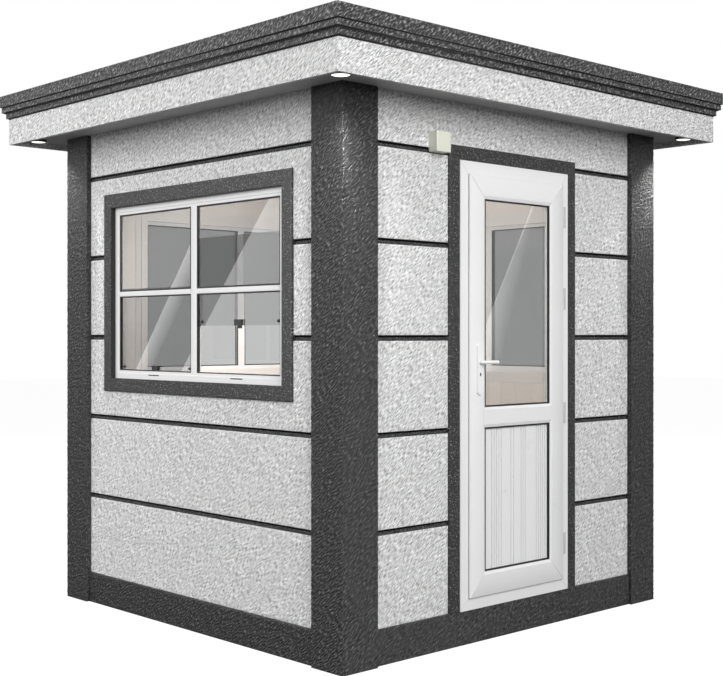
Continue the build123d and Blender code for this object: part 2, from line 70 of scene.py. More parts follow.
# Planes and heights read from the solids
BODY_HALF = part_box("corner_posts")[HIGH].x
POST_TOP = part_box("corner_posts")[HIGH].z
BAY_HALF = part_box("front_wall_boards")[HIGH].x
BOARD_FACE = -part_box("front_wall_boards")[LOW].y
CORE_FACE = -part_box("front_wall_left")[LOW].y
CORE_BACK = -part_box("front_wall_left")[HIGH].y
ROOM_HALF = -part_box("front_wall_lining")[HIGH].y
TRIM_FACE = -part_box("door_trim")[LOW].y
PLINTH_FACE = -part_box("plinths")[LOW].y
PLINTH_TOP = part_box("plinths")[HIGH].z
FLOOR_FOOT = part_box("floor_panel")[LOW].z
SOFFIT_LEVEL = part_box("soffit")[LOW].z
FASCIA_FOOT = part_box("fascia")[LOW].z
FASCIA_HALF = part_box("fascia")[HIGH].x
FASCIA_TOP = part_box("fascia")[HIGH].z
FASCIA_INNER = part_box("roof_panel")[HIGH].x
CORNICE_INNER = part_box("roof_cover")[HIGH].x
ROOF_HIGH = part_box("roof_cover")[HIGH].z
ROOF_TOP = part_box("cornice")[HIGH].z

# Courses of boards and the grooves between them
FIRST_GROOVE = 0.544
GROOVE_PITCH = 0.402
GROOVE_HEIGHT = 0.024
GROOVE_COUNT = 5
GROOVE_FILL = 0.005
GROOVE_SHADOW = 0.009

# Windows: half width, foot and head of the opening, then what stands in it
WINDOW_HOLE = (
    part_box("service_window_frame")[HIGH].y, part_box("service_window_frame")[LOW].z,
    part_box("service_window_frame")[HIGH].z,
)
WINDOW_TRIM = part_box("window_trims")[HIGH].z - WINDOW_HOLE[2]
WINDOW_FACE = -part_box("service_window_frame")[LOW].x
SERVICE_BACK = -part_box("service_window_frame")[HIGH].x
SERVICE_GLASS = -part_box("service_window_glass")[LOW].x
SERVICE_PANE = -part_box("service_window_lifting_panes")[LOW].x
FIXED_DEPTH = 0.040
FIXED_BACK = WINDOW_FACE - FIXED_DEPTH
FIXED_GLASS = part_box("fixed_window_glass")[HIGH].y
FIXED_GLASS_THICK = 0.020
FIXED_GLASS_BACK = FIXED_GLASS - FIXED_GLASS_THICK
LIGHT_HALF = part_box("service_window_glass")[HIGH].y
FRAME_FACE = WINDOW_HOLE[0] - LIGHT_HALF
FRAME_ROUND = 0.003
FRAME_STEP = 0.002
FRAME_STEP_SHARE = 0.66
FRAME_SLOPE_SHARE = 0.05
MULLION_HALF = 0.023
LIGHT_TALL = (WINDOW_HOLE[1] + FRAME_FACE, WINDOW_HOLE[2] - FRAME_FACE)
LIGHTS = ((-LIGHT_HALF, -MULLION_HALF), (MULLION_HALF, LIGHT_HALF))
TRANSOM_FACE = 0.024
TRANSOM_SEAT = 0.004
TRANSOM = (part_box("service_window_glass")[LOW].z - TRANSOM_FACE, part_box("service_window_glass")[LOW].z)
GLASS_COVER = 0.001
ARRIS = 0.001
MITRE_GAP = 0.0008
CASING_THICK = 0.022
CASING_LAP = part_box("window_casings")[HIGH].z - WINDOW_HOLE[2]
CASING_BAND = 0.039
CASING_PROUD = 0.006
CASING_FACE = ROOM_HALF - CASING_PROUD
CASING_STEP = 0.0035

# Dark rubber in the windows
GASKET = 0.005
GASKET_SETBACK = 0.003
GASKET_FLAT_SHARE = 0.6
GASKET_SLOPE = 0.001
FIXED_GASKET_PROUD = 0.004
FIXED_GASKET_LAP = 0.0005
SERVICE_GASKET = 0.008
PANE_GASKET_GAP = 0.001
# The reveal seal is black partly as a seal and partly as painted shade in the reveal.
SEAL = 0.003
SEAL_SETBACK = 0.003
DRAIN_RISE = 0.021
DRAIN_RADIUS = 0.0025
DRAIN_HALF = 0.0425
DRAIN_PROUD = 0.0004
DRAIN_DEPTH = 0.003

# Door. The bands of its panel are plain and fluted by turns.
DOOR_HOLE = (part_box("door_frame")[HIGH].x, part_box("door_frame")[LOW].z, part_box("door_frame")[HIGH].z)
DOOR_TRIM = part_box("door_trim")[HIGH].z - DOOR_HOLE[2]
DOOR_FRONT = -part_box("door_frame")[LOW].y
LIP_LAP = 0.021
LIP_GAP = 0.005
LIP_BACK = DOOR_FRONT + LIP_GAP
LEAF_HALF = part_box("door_leaf")[HIGH].x
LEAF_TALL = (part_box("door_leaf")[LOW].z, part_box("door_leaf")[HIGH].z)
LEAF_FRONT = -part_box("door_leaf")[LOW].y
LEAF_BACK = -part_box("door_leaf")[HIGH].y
LEAF_INSET = 0.033
LEAF_ROUND_SHARE = 0.3
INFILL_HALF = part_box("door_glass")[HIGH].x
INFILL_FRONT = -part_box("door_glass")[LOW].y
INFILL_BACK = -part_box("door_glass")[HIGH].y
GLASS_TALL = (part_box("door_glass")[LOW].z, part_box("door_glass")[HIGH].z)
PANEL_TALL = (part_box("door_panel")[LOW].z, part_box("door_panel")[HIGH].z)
BEAD = 0.015
BEAD_DROP = 0.005
BEAD_EASE = 0.0006
BEAD_EASE_SHARE = 0.08
DOOR_GASKET = 0.007
DOOR_GASKET_PROUD = 0.0005
PANEL_BANDS = (0.048, 0.082, 0.048, 0.039, 0.035, 0.044, 0.064, 0.094)
PANEL_SHARP = 10
FLUTE_PITCH = 0.0165
FLUTE = 0.0042
FLUTE_DEPTH = 0.0036
KEYHOLE_LEVEL = 1.186
LOCK_RADIUS = 0.0039
LOCK_HALF = 0.004
LOCK_PROUD = 0.0005

# Room
LINING_BOARD = 0.109
LINING_JOINT = 0.0015
PLANK = 0.15
PLANK_JOINT = 0.001

# Roof
CORNICE_REACHES = (0.012, 0.029, 0.036)
CORNICE_HEIGHTS = (0.030, 0.028, 0.062)
CORNICE_SHADOW = 0.005
SHADOW_STRIP_SKIN_SHARE = 0.15
ROOF_FALL = 0.020
ROOF_STRIPS = 3
ROOF_LAP_HALF = 0.05
ROOF_LAP_RISE = 0.004
ROOF_LAP_DEPTH = 0.008
ROOF_SKIN = 0.001

# Downlights and junction box. The lens's crown is (share of its radius, rise) points.
DOWNLIGHT_RADIUS = 0.042
DOWNLIGHT_RIM = 0.004
DOWNLIGHT_SEAT = 0.006
DOWNLIGHT_EASE = 0.001
LENS_CROWN = ((0, 0.0005), (0.5, 0.0008), (0.9, 0.0015))
LENS_EDGE = 0.003
LENS_FIT = 0.0002
BOX_LID = 0.012
BOX_LID_ROUND = 0.003
BOX_INSET = 0.001
BOX_ROUND = 0.002
BOX_SHADOW = 0.0008

# Relief of the trowelled coat: a tile of strokes, its height on each piece, where each wall starts on it
GRID = 0.007
BOARD_GRID = 0.0078
RELIEF_CELLS = 512
RELIEF_PITCH = 0.0035
RELIEF_BAND = 0.42
RELIEF_SPREAD = 32
RELIEF_EVEN = 0.22
RELIEF_GAIN = 0.9
STROKE_ANGLE = 40
WHITE_SEED, WHITE_WAVE = 11, 0.019
DARK_SEED, DARK_WAVE = 23, 0.021
BOARD_RELIEF, BOARD_SHIFT = 0.0006, 2.3
GROOVE_RELIEF, GROOVE_SHIFT = 0.0008, 0.9
TRIM_RELIEF, TRIM_SHIFT, DOOR_TRIM_SHIFT = 0.0007, 1.7, 5.1
PLINTH_RELIEF, PLINTH_SHIFT = 0.0009, 1.3
POST_RELIEF, POST_SHIFT = 0.0012, 0.47
FASCIA_RELIEF = 0.0015
CORNICE_RELIEF, CORNICE_SINK = 0.0008, 0.0009
ROOF_SHIFT = 0.61
EDGE_ROUND = 0.0028
EDGE_FADE = 0.012
EDGE_SHARES = (0.15, 0.45, 1.0)
CORNER_SHARES = (0.45, 1.0)
POST_FOOT_FADE = 0.01
NEAR_ZERO = 1e-6

# Fineness of the meshes
SMOOTH_ANGLE = 45
WELD_REACH = 1e-5
ARC_STEPS = 4
BLOCK_CORNER_STEPS = 3
BLOCK_EDGE_POINTS = 5
SLOT_END_POINTS = 7
TURNED_SIDES = 40

# Colour of the coat: length and width of a stroke, then (height, tone) stops from its pits up, which paint
# shade into the pits and highlights onto the ridges.
# A noise is its scale, detail, roughness and distortion.
STROKE_DRIFT = 0.007
STROKE_DRIFT_SCALE = 14.0
WHITE_STROKE = (0.0215, 0.0034)
DARK_STROKE = (0.0190, 0.0056)
GLINT_FLECK_STROKE = (0.0100, 0.0038)
# White tones: painted shade in the pits and painted highlights on the white ridge tops.
WHITE_TONES = [(0.41, 0.38), (0.54, 0.80), (0.65, 1.0)]
# Dark, cornice and trim tones: painted shade in the pits; the ridge tops and sparse flecks, far lighter than
# the charcoal, are painted highlights and glints.
DARK_TONES = [(0.48, 0.013), (0.62, 0.037), (0.82, 0.15)]
CORNICE_TONES = [(0.47, 0.016), (0.60, 0.058), (0.79, 0.34)]
TRIM_TONES = [(0.50, 0.018), (0.66, 0.036), (0.70, 0.050), (0.79, 0.36)]
# Groove tones: darker than the dark coat's, as painted shade in the recess, with light flecks as painted
# glints.
GROOVE_TONES = [(0.50, 0.006), (0.62, 0.034), (0.80, 0.22)]
STROKE_NOISE = (1.0, 0.6, 0.45, 0.05)
GRAIN_SCALE = 420.0
GRAIN_NOISE = (GRAIN_SCALE, 2.0, 0.6)
GRAIN_SHARE = 0.12

# Smooth plastic and glass
CLOUD_NOISE = (9.0, 3.0)
CLOUD_STOPS = (0.3, 0.7)
CLOUD_SHADE = 0.985
GLOSS_SPREAD = (-0.02, 0.03)
PLASTIC_WAVE = 0.00006
PLASTIC_WAVE_STRENGTH = 0.6
LAMP_CLOUD_SCALE = 60.0
LAMP_SHADE = 0.93
LAMP_COLOUR = (1.0, 0.98, 0.94, 1)
LAMP_GLOW = 1.6
GLASS_TINT = 0.005
PANE_INDEX = 1.45
STREAK_INDEX = 1.7

# Studio
WORLD_LIGHT = 0.42
FLOOR_REACH = 30.0
FLOOR_GREYS = (0.135, 0.14)
FLOOR_CLOUD_SCALE = 2.0
FLOOR_GLOW = 0.92
AREA_TARGET = (0, 0, 1.2)
AREA_SIZE = 5.0
KEY_PLACE, KEY_POWER = (-2.6, -8.2, 4.2), 640
SIDE_PLACE, SIDE_POWER = (-8.0, 2.5, 4.1), 490
FILL_PLACE, FILL_POWER = (6.5, 7.0, 4.5), 260
ROOM_PLACE, ROOM_POWER, ROOM_LAMP_SIZE = (-0.4, 0.1, 1.65), 38, 0.25
DOWNLIGHT_POWER = 38
DOWNLIGHT_CONE = 120
DOWNLIGHT_LAMP_SIZE = 0.03
DOWNLIGHT_LAMP_DROP = 0.004

# Streak cards: corners from lower left to upper left as mirrored in the panes, then the glow at either side
STREAKS = {
    "window_streak": (
        [(-3.3, 4.124, 1.002), (-3.3, 3.885, 1.008), (-3.3, 3.254, 1.804), (-3.3, 3.254, 2.082)], 2.6, 0.5),
    "window_band": (
        [(-3.3, 3.524, 0.960), (-3.3, 2.424, 0.992), (-3.3, 1.458, 2.296), (-3.3, 2.280, 2.362)], 2.5, 2.3),
    "door_streak": (
        [(2.440, -3.6, 1.089), (2.790, -3.6, 1.082), (3.260, -3.6, 2.445), (3.232, -3.6, 2.443)], 3.4, 0.4),
}


# Relief

def relief_tile(seed, wavelength):
    """Seamless tile of short slanted trowel strokes, in units of its own spread."""
    rng = np.random.default_rng(seed)
    waves = np.fft.fft2(rng.standard_normal((RELIEF_CELLS, RELIEF_CELLS)))
    steps = np.fft.fftfreq(RELIEF_CELLS, RELIEF_PITCH)
    fu, fv = np.meshgrid(steps, steps, indexing="ij")
    radius = np.maximum(np.hypot(fu, fv), NEAR_ZERO)
    band = np.exp(-((np.log(radius * wavelength) / RELIEF_BAND) ** 2) / 2)
    across = math.radians(STROKE_ANGLE + 90)
    turn = (np.arctan2(fv, fu) - across + math.pi / 2) % math.pi - math.pi / 2
    slant = RELIEF_EVEN + np.exp(-((turn / math.radians(RELIEF_SPREAD)) ** 2) / 2)
    tile = np.real(np.fft.ifft2(waves * band * slant))
    return np.tanh(tile / tile.std() * RELIEF_GAIN)


def sample(tile, u, v):
    """Tile read at u, v in metres, between its cells."""
    a, b = u / RELIEF_PITCH, v / RELIEF_PITCH
    i, j = np.floor(a).astype(int), np.floor(b).astype(int)
    s, t = a - i, b - j
    left, right = i % RELIEF_CELLS, (i + 1) % RELIEF_CELLS
    low, high = j % RELIEF_CELLS, (j + 1) % RELIEF_CELLS
    below = tile[left, low] * (1 - s) + tile[right, low] * s
    above = tile[left, high] * (1 - s) + tile[right, high] * s
    return below * (1 - t) + above * t


WHITE_RELIEF = relief_tile(WHITE_SEED, WHITE_WAVE)
DARK_RELIEF = relief_tile(DARK_SEED, DARK_WAVE)


# Meshes: vertices, faces and a flat place in metres for each vertex

def join(shapes):
    """One mesh of several."""
    verts, faces, flats, base = [], [], [], 0
    for part_verts, part_faces, part_flats in shapes:
        verts.append(part_verts)
        flats.append(part_flats)
        faces += [tuple(base + i for i in face) for face in part_faces]
        base += len(part_verts)
    return np.concatenate(verts), faces, np.concatenate(flats)


def quads(index, keep=None):
    """Faces between neighbouring rows and columns of a grid of vertices."""
    faces = np.stack([index[:-1, :-1], index[1:, :-1], index[1:, 1:], index[:-1, 1:]], -1)
    chosen = faces.reshape(-1, 4) if keep is None else faces[keep]
    return [tuple(face) for face in chosen.tolist()]


def trimmed(shape):
    """The same mesh without the vertices that no face uses."""
    verts, faces, flats = shape
    used = np.zeros(len(verts), bool)
    for face in faces:
        used[list(face)] = True
    place = np.cumsum(used) - 1
    return verts[used], [tuple(int(place[i]) for i in face) for face in faces], flats[used]


def outwards(mesh):
    """Turns the faces of closed bars outwards."""
    work = bmesh.new()
    work.from_mesh(mesh)
    bmesh.ops.recalc_face_normals(work, faces=work.faces)
    work.to_mesh(mesh)
    work.free()


def piece(
    name, shape, material, slot=None, body="booth", replaces=(), sharp=SMOOTH_ANGLE, weld=False, solid=False,
):
    """Object for a mesh, riding on a body and standing for the nodes named. Its slot argument is not used."""
    verts, faces, flats = shape
    mesh = bpy.data.meshes.new(name)
    mesh.from_pydata(verts.tolist(), [], faces)
    if solid:
        outwards(mesh)
    layer = mesh.uv_layers.new(name="flat")
    corner = np.zeros(len(mesh.loops), np.int32)
    mesh.loops.foreach_get("vertex_index", corner)
    layer.data.foreach_set("uv", flats[corner].astype(np.float32).ravel())
    mesh.shade_smooth()
    mesh.set_sharp_from_angle(angle=math.radians(sharp))
    mesh.materials.append(MATERIALS[material])
    obj = bpy.data.objects.new(name, mesh)
    bpy.context.scene.collection.objects.link(obj)
    if weld:
        obj.modifiers.new("weld", "WELD").merge_threshold = WELD_REACH
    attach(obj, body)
    for node in replaces:
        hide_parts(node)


def bars(name, shapes, material, slot=None, **more):
    """Piece of closed bars and blocks."""
    piece(name, join(shapes), material, slot, solid=True, **more)


def on_wall(side, u, v, w):
    """Points u to the right, v up and w out from the middle, seen from outside that wall."""
    (right_x, right_y), (out_x, out_y) = WALLS[side]
    return np.stack([right_x * u + out_x * w, right_y * u + out_y * w, v], -1)


def both(half):
    return (-half, half)


def rect(u, v, by=0.0):
    """Rectangle of two spans, grown all round."""
    return ((u[0] - by, u[1] + by), (v[0] - by, v[1] + by))


def grown(hole, by, foot=None):
    """Rectangle round an opening, grown all round or down to a foot."""
    half, low, high = hole
    return ((-half - by, half + by), (low - by if foot is None else foot, high + by))


# Coated boards

def lines(low, high, step, marks=(), eased=(True, True), shares=EDGE_SHARES):
    """Grid lines from low to high, closer at eased ends, with all the marks on a line."""
    near = [EDGE_ROUND * share for share in shares]
    ends = [low, high, *[m for m in marks if low < m < high]]
    ends += [low + d for d in near] if eased[0] else []
    ends += [high - d for d in near] if eased[1] else []
    stops = sorted(set(round(e, 6) for e in ends))
    found = []
    for a, b in zip(stops, stops[1:]):
        count = max(1, round((b - a) / step))
        found += [a + (b - a) * k / count for k in range(count)]
    return np.array(found + [stops[-1]])


def rounding(distance):
    """Drop of a surface near a rounded edge."""
    short = np.clip(EDGE_ROUND - distance, 0, EDGE_ROUND)
    return EDGE_ROUND - np.sqrt(EDGE_ROUND ** 2 - short ** 2)


def cuts(span, hole):
    """Ends of a span, with the ends of a hole that fall between them."""
    return np.array(sorted([*span, *[end for end in hole if span[0] < end < span[1]]]))


def beyond(values, span):
    """How far values lie outside a span."""
    return np.maximum(np.maximum(span[0] - values, values - span[1]), 0)


def outside(us, vs, hole):
    """Which cells between grid lines lie outside a hole."""
    u, v = np.meshgrid((us[:-1] + us[1:]) / 2, (vs[:-1] + vs[1:]) / 2, indexing="ij")
    if not hole:
        return np.ones(u.shape, bool)
    (left, right), (low, high) = hole
    return (u <= left) | (u >= right) | (v <= low) | (v >= high)


def sheet(side, span, tall, outer, inner, tile, height, hole=None, offset=0.0, grid=GRID):
    """Coated board on a wall, cut round a hole, with a relief face, rounded edges and a plain back."""
    hole_u, hole_v = hole or ((), ())
    cuts_u, cuts_v = cuts(span, hole_u), cuts(tall, hole_v)
    us, vs = lines(*span, grid, cuts_u), lines(*tall, grid, cuts_v)
    grid_u, grid_v = np.meshgrid(us, vs, indexing="ij")
    edge = np.minimum.reduce([grid_u - span[0], span[1] - grid_u, grid_v - tall[0], tall[1] - grid_v])
    near = np.minimum(edge, np.hypot(beyond(grid_u, hole_u), beyond(grid_v, hole_v))) if hole else edge
    rise = height * sample(tile, grid_u + offset, grid_v) * np.clip(near / EDGE_FADE, 0, 1)
    back_u, back_v = np.meshgrid(cuts_u, cuts_v, indexing="ij")
    u = np.concatenate([grid_u.ravel(), back_u.ravel()])
    v = np.concatenate([grid_v.ravel(), back_v.ravel()])
    w = np.concatenate([(outer + rise - rounding(edge)).ravel(), np.full(back_u.size, inner)])
    front = np.arange(grid_u.size).reshape(grid_u.shape)
    behind = grid_u.size + np.arange(back_u.size).reshape(back_u.shape)
    solid = outside(cuts_u, cuts_v, hole)
    faces = quads(front, outside(us, vs, hole)) + quads(behind.T, solid.T)
    at_u = [int(np.argmin(abs(us - u))) for u in cuts_u]
    at_v = [int(np.argmin(abs(vs - v))) for v in cuts_v]
    faces += rims(front, behind, solid, at_u, at_v)
    return trimmed((on_wall(side, u, v, w), faces, np.stack([u + offset, v], -1)))


def rims(front, behind, solid, at_u, at_v):
    """Side faces of a board between its fine front and its plain back, where it has no neighbour."""
    met = np.pad(solid, 1)
    faces = []
    for i, j in zip(*np.nonzero(solid)):
        across = slice(at_u[i], at_u[i + 1] + 1)
        up = slice(at_v[j], at_v[j + 1] + 1)
        sides = (
            (met[i + 1, j], (i, j), (i + 1, j), front[across, at_v[j]][::-1]),
            (met[i + 1, j + 2], (i + 1, j + 1), (i, j + 1), front[across, at_v[j + 1]]),
            (met[i, j + 1], (i, j + 1), (i, j), front[at_u[i], up]),
            (met[i + 2, j + 1], (i + 1, j), (i + 1, j + 1), front[at_u[i + 1], up][::-1]),
        )
        faces += [(behind[a], behind[b], *run) for hidden, a, b, run in sides if not hidden]
    return faces


def post_path():
    """Points along a post's coated outline: run, x, y, the way out in x and y, and the drop at corners."""
    face, proud = BODY_HALF - BAY_HALF, BODY_HALF - CORE_FACE
    stops = [0, proud, proud + face, proud + 2 * face, 2 * proud + 2 * face]
    outline = np.array([
        (-BAY_HALF, -CORE_FACE), (-BAY_HALF, -BODY_HALF), (-BODY_HALF, -BODY_HALF),
        (-BODY_HALF, -BAY_HALF), (-CORE_FACE, -BAY_HALF),
    ])
    ways = np.array([(1, 0), (0, -1), (-1, 0), (0, 1)])
    rows = []
    for k, way in enumerate(ways):
        for i, run in enumerate(lines(stops[k], stops[k + 1], GRID, shares=CORNER_SHARES)[:-1]):
            corner = k > 0 and i == 0
            share = (run - stops[k]) / (stops[k + 1] - stops[k])
            place = outline[k] + (outline[k + 1] - outline[k]) * share
            out = ways[k - 1] + way if corner else way
            gap = min(abs(run - stop) for stop in stops[1:-1])
            drop = EDGE_ROUND * (1 - math.sqrt(0.5)) if corner else rounding(gap)
            rows.append((run, *place, *out, drop))
    rows.append((stops[-1], *outline[-1], *ways[-1], 0.0))
    return np.array(rows).T[:, :, None]


def post_shape(turn, offset):
    """L-shaped corner post with a coat on its outer faces and on the returns beside the walls."""
    run, x, y, out_x, out_y, drop = post_path()
    z = lines(0, POST_TOP, GRID, eased=(True, False))[None]
    runs, heights = np.broadcast_arrays(offset - run, z)
    shift = POST_RELIEF * sample(DARK_RELIEF, runs, heights) * np.clip(z / POST_FOOT_FADE, 0, 1) - drop
    coated = np.stack([x + out_x * shift, y + out_y * shift, heights], -1).reshape(-1, 3)
    inner = [(-CORE_BACK, -BAY_HALF), (-CORE_BACK, -CORE_BACK), (-BAY_HALF, -CORE_BACK)]
    back = np.array([(*place, end) for place in inner for end in (0, POST_TOP)])
    index = np.arange(runs.size).reshape(runs.shape)
    a, b, c, d, e, f = range(runs.size, runs.size + len(back))
    faces = quads(index.T)
    faces += [(*index[-1], b, a), (a, b, d, c), (c, d, f, e), (e, f, *index[0][::-1])]
    faces += [(*index[:, 0], a, c, e), (f, d, b, *index[::-1, -1])]
    x, y, z = np.concatenate([coated, back]).T
    flats = np.stack([np.concatenate([runs.ravel(), back[:, 0] + back[:, 1]]), z], -1)
    cos, sin = round(math.cos(turn)), round(math.sin(turn))
    return np.stack([cos * x - sin * y, sin * x + cos * y, z], -1), faces, flats


def swept_points(outline, coated):
    """Points round a profile, close on coated runs: out, z, the way out in both, run, and 1 where coated."""
    rows, run = [], 0.0
    for k, (a, b) in enumerate(zip(outline, outline[1:] + outline[:1])):
        a, b = np.array(a), np.array(b)
        length = float(np.hypot(*(b - a)))
        steps = max(1, round(length / GRID)) if k in coated else 1
        way = np.array([(b - a)[1], -(b - a)[0]]) / length
        for i in range(steps):
            rows.append((*(a + (b - a) * i / steps), *way, run + length * i / steps, k in coated and i > 0))
        run += length
    return np.array(rows, float).T


def square_sweep(outline, coated=(), tile=DARK_RELIEF, height=0.0, sink=0.0):
    """Profile of (out, z) points carried round the square roof edge with mitred corners.

    The runs whose places are in coated get the relief, and the rest stay plain.
    """
    reach, level, way_out, way_up, flat, live = swept_points(outline, coated)
    longest = max(out for out, z in outline)
    lengths = 2 * round(longest / GRID) if coated else 1
    shares = np.linspace(-1, 1, lengths + 1)[:, None]
    along = reach * shares
    run = np.broadcast_to(flat, along.shape)
    mitre = np.clip((1 - abs(shares)) * longest / EDGE_FADE, 0, 1)
    index = np.arange(along.size).reshape(along.shape)
    faces = quads(np.c_[index, index[:, :1]])
    sides = []
    for k, side in enumerate(WALLS):
        shifted = along + ROOF_SHIFT * k
        rise = (height * sample(tile, shifted, run) - sink) * live * mitre
        verts = on_wall(side, along, level + way_up * rise, reach + way_out * rise).reshape(-1, 3)
        sides.append((verts, faces, np.stack([shifted, run], -1).reshape(-1, 2)))
    return join(sides)


# Bars: closed prisms, each with one outline

def prism(ends):
    """Closed bar between two like outlines of points."""
    first, last = (np.array(end, float) for end in ends)
    count = len(first)
    faces = [tuple(range(count)), tuple(range(2 * count - 1, count - 1, -1))]
    faces += [(k, k + count, (k + 1) % count + count, (k + 1) % count) for k in range(count)]
    verts = np.concatenate([first, last])
    return verts, faces, verts[:, :2] + verts[:, 2:]


def rounded(outline, radius, corners, steps=ARC_STEPS):
    """Outline with an arc of a radius at each of the named corners."""
    points = []
    count = len(outline)
    for k, point in enumerate(outline):
        if k not in corners:
            points.append(tuple(point))
            continue
        here = np.array(point, float)
        ways = [np.array(outline[(k + d) % count], float) - here for d in (-1, 1)]
        start, end = (here + way / np.hypot(*way) * radius for way in ways)
        for t in np.linspace(0, 1, steps + 1):
            points.append(tuple((1 - t) ** 2 * start + 2 * t * (1 - t) * here + t ** 2 * end))
    return points


def mitred(side, outer, inner, outline, gap=MITRE_GAP):
    """Four mitred bars between two rectangles. The outline is (share of the face, out) points."""
    ways = ((LOW, LOW), (HIGH, LOW), (HIGH, HIGH), (LOW, HIGH))
    corners = [((outer[0][i], outer[1][j]), (inner[0][i], inner[1][j])) for i, j in ways]
    shapes = []
    for k in range(4):
        ends = []
        for corner, other in ((corners[k], corners[k - 3]), (corners[k - 3], corners[k])):
            (a, b), (c, d) = corner
            along = np.sign(np.array(other[0]) - np.array(corner[0])) * gap
            points = [(a + (c - a) * s + along[0], b + (d - b) * s + along[1], w) for s, w in outline]
            ends.append(on_wall(side, *np.array(points).T))
        shapes.append(prism(ends))
    return join(shapes)


def upright_bar(side, tall, outline):
    """Upright bar of a (u, out) outline."""
    u, w = np.array(outline).T
    return prism([on_wall(side, u, np.full(len(u), v), w) for v in tall])


def level_bar(side, span, outline):
    """Level bar of a (v, out) outline."""
    v, w = np.array(outline).T
    return prism([on_wall(side, np.full(len(v), u), v, w) for u in span])


def standing_bar(side, outs, outline):
    """Bar of a (u, v) outline that stands out of a wall."""
    u, v = np.array(outline).T
    return prism([on_wall(side, u, v, np.full(len(u), w)) for w in outs])


def slot_outline(u, v, radius, half, level=False):
    """Long round-ended outline about a point, upright or level."""
    angles = np.linspace(-math.pi / 2, math.pi / 2, SLOT_END_POINTS)
    points = [(half + radius * math.cos(a), radius * math.sin(a)) for a in angles]
    points += [(-half - radius * math.cos(a), -radius * math.sin(a)) for a in angles]
    return [(u + a, v + b) if level else (u - b, v + a) for a, b in points]


def soft_block(side, outer, back, front, radius):
    """Block on a wall with rounded corners and a rounded front edge."""
    (u0, u1), (v0, v1) = outer

    def loop(by, w):
        corners = [(u0 + by, v0 + by), (u1 - by, v0 + by), (u1 - by, v1 - by), (u0 + by, v1 - by)]
        u, v = np.array(rounded(corners, radius, {0, 1, 2, 3}, BLOCK_CORNER_STEPS)).T
        return on_wall(side, u, v, np.full(len(u), w))

    angles = np.linspace(0, math.pi / 2, BLOCK_EDGE_POINTS)
    turns = [(radius * (1 - math.cos(a)), front - radius * (1 - math.sin(a))) for a in angles]
    verts = np.array([loop(0, back)] + [loop(by, w) for by, w in turns])
    index = np.arange(len(verts) * len(verts[0])).reshape(verts.shape[:2])
    faces = [tuple(index[0]), tuple(index[-1][::-1])] + quads(np.c_[index, index[:, :1]].T)
    verts = verts.reshape(-1, 3)
    return verts, faces, verts[:, :2]


def turned(x, y, outline, count=TURNED_SIDES):
    """Closed solid turned about an upright axis from (radius, z) points that start and end on it."""
    angles = np.linspace(0, 2 * math.pi, count, endpoint=False)
    ring = outline[1:-1]
    verts = [(x, y, outline[0][1]), (x, y, outline[-1][1])]
    for a in angles:
        verts += [(x + r * math.cos(a), y + r * math.sin(a), z) for r, z in ring]
    rows = len(ring)
    faces = []
    for k in range(count):
        here, there = 2 + k * rows, 2 + (k + 1) % count * rows
        faces.append((0, there, here))
        faces.append((1, here + rows - 1, there + rows - 1))
        faces += [(here + i, there + i, there + i + 1, here + i + 1) for i in range(rows - 1)]
    verts = np.array(verts)
    return verts, faces, verts[:, :2]


# Materials

def new_material(name, **values):
    """Material with one Principled shader, its plain values set on the sockets."""
    material = bpy.data.materials.new(name)
    material.use_nodes = True
    shader = material.node_tree.nodes["Principled BSDF"]
    for socket, value in values.items():
        shader.inputs[socket.replace("_", " ")].default_value = value
    return material, material.node_tree, shader


def feed(tree, node, **sockets):
    """Links outputs to a node's sockets."""
    for socket, output in sockets.items():
        tree.links.new(output, node.inputs[socket.replace("_", " ")])


def add(tree, kind, inputs=None, **settings):
    """Node with its settings, and its inputs linked or set."""
    node = tree.nodes.new(kind)
    for key, value in settings.items():
        setattr(node, key, value)
    for key, value in (inputs or {}).items():
        if isinstance(value, bpy.types.NodeSocket):
            tree.links.new(value, node.inputs[key])
        else:
            node.inputs[key].default_value = value
    return node


def noise(tree, vector, scale, detail=2.0, roughness=0.5, distortion=0.0):
    inputs = {"Vector": vector, "Scale": scale, "Detail": detail}
    inputs |= {"Roughness": roughness, "Distortion": distortion}
    return add(tree, "ShaderNodeTexNoise", inputs).outputs["Fac"]


def mapped(tree, value, low, high):
    return add(tree, "ShaderNodeMapRange", {"Value": value, "To Min": low, "To Max": high}).outputs[0]


def bumped(tree, height, distance, strength=1.0):
    inputs = {"Strength": strength, "Distance": distance, "Height": height}
    return add(tree, "ShaderNodeBump", inputs).outputs[0]


def maths(tree, operation, *inputs, kind="ShaderNodeMath"):
    """Result of an operation on numbers, or on vectors."""
    return add(tree, kind, dict(enumerate(inputs)), operation=operation).outputs[0]


def flat_place(tree):
    return add(tree, "ShaderNodeUVMap", uv_map="flat").outputs["UV"]


def object_place(tree):
    return add(tree, "ShaderNodeTexCoord").outputs["Object"]


def ramp(tree, value, stops):
    """Colour ramp of (place, colour) stops."""
    node = add(tree, "ShaderNodeValToRGB", {"Fac": value})
    node.color_ramp.elements[0].position, node.color_ramp.elements[0].color = stops[0]
    node.color_ramp.elements[1].position, node.color_ramp.elements[1].color = stops[-1]
    for position, colour in stops[1:-1]:
        node.color_ramp.elements.new(position).color = colour
    return node.outputs["Color"]


def grey(value):
    return (value, value, value, 1)


def clouded(tree, value, colour, shade):
    """Colour that darkens a little with a cloud's value."""
    darker = tuple(c * shade for c in colour[:3]) + (1,)
    return ramp(tree, value, list(zip(CLOUD_STOPS, (darker, colour))))


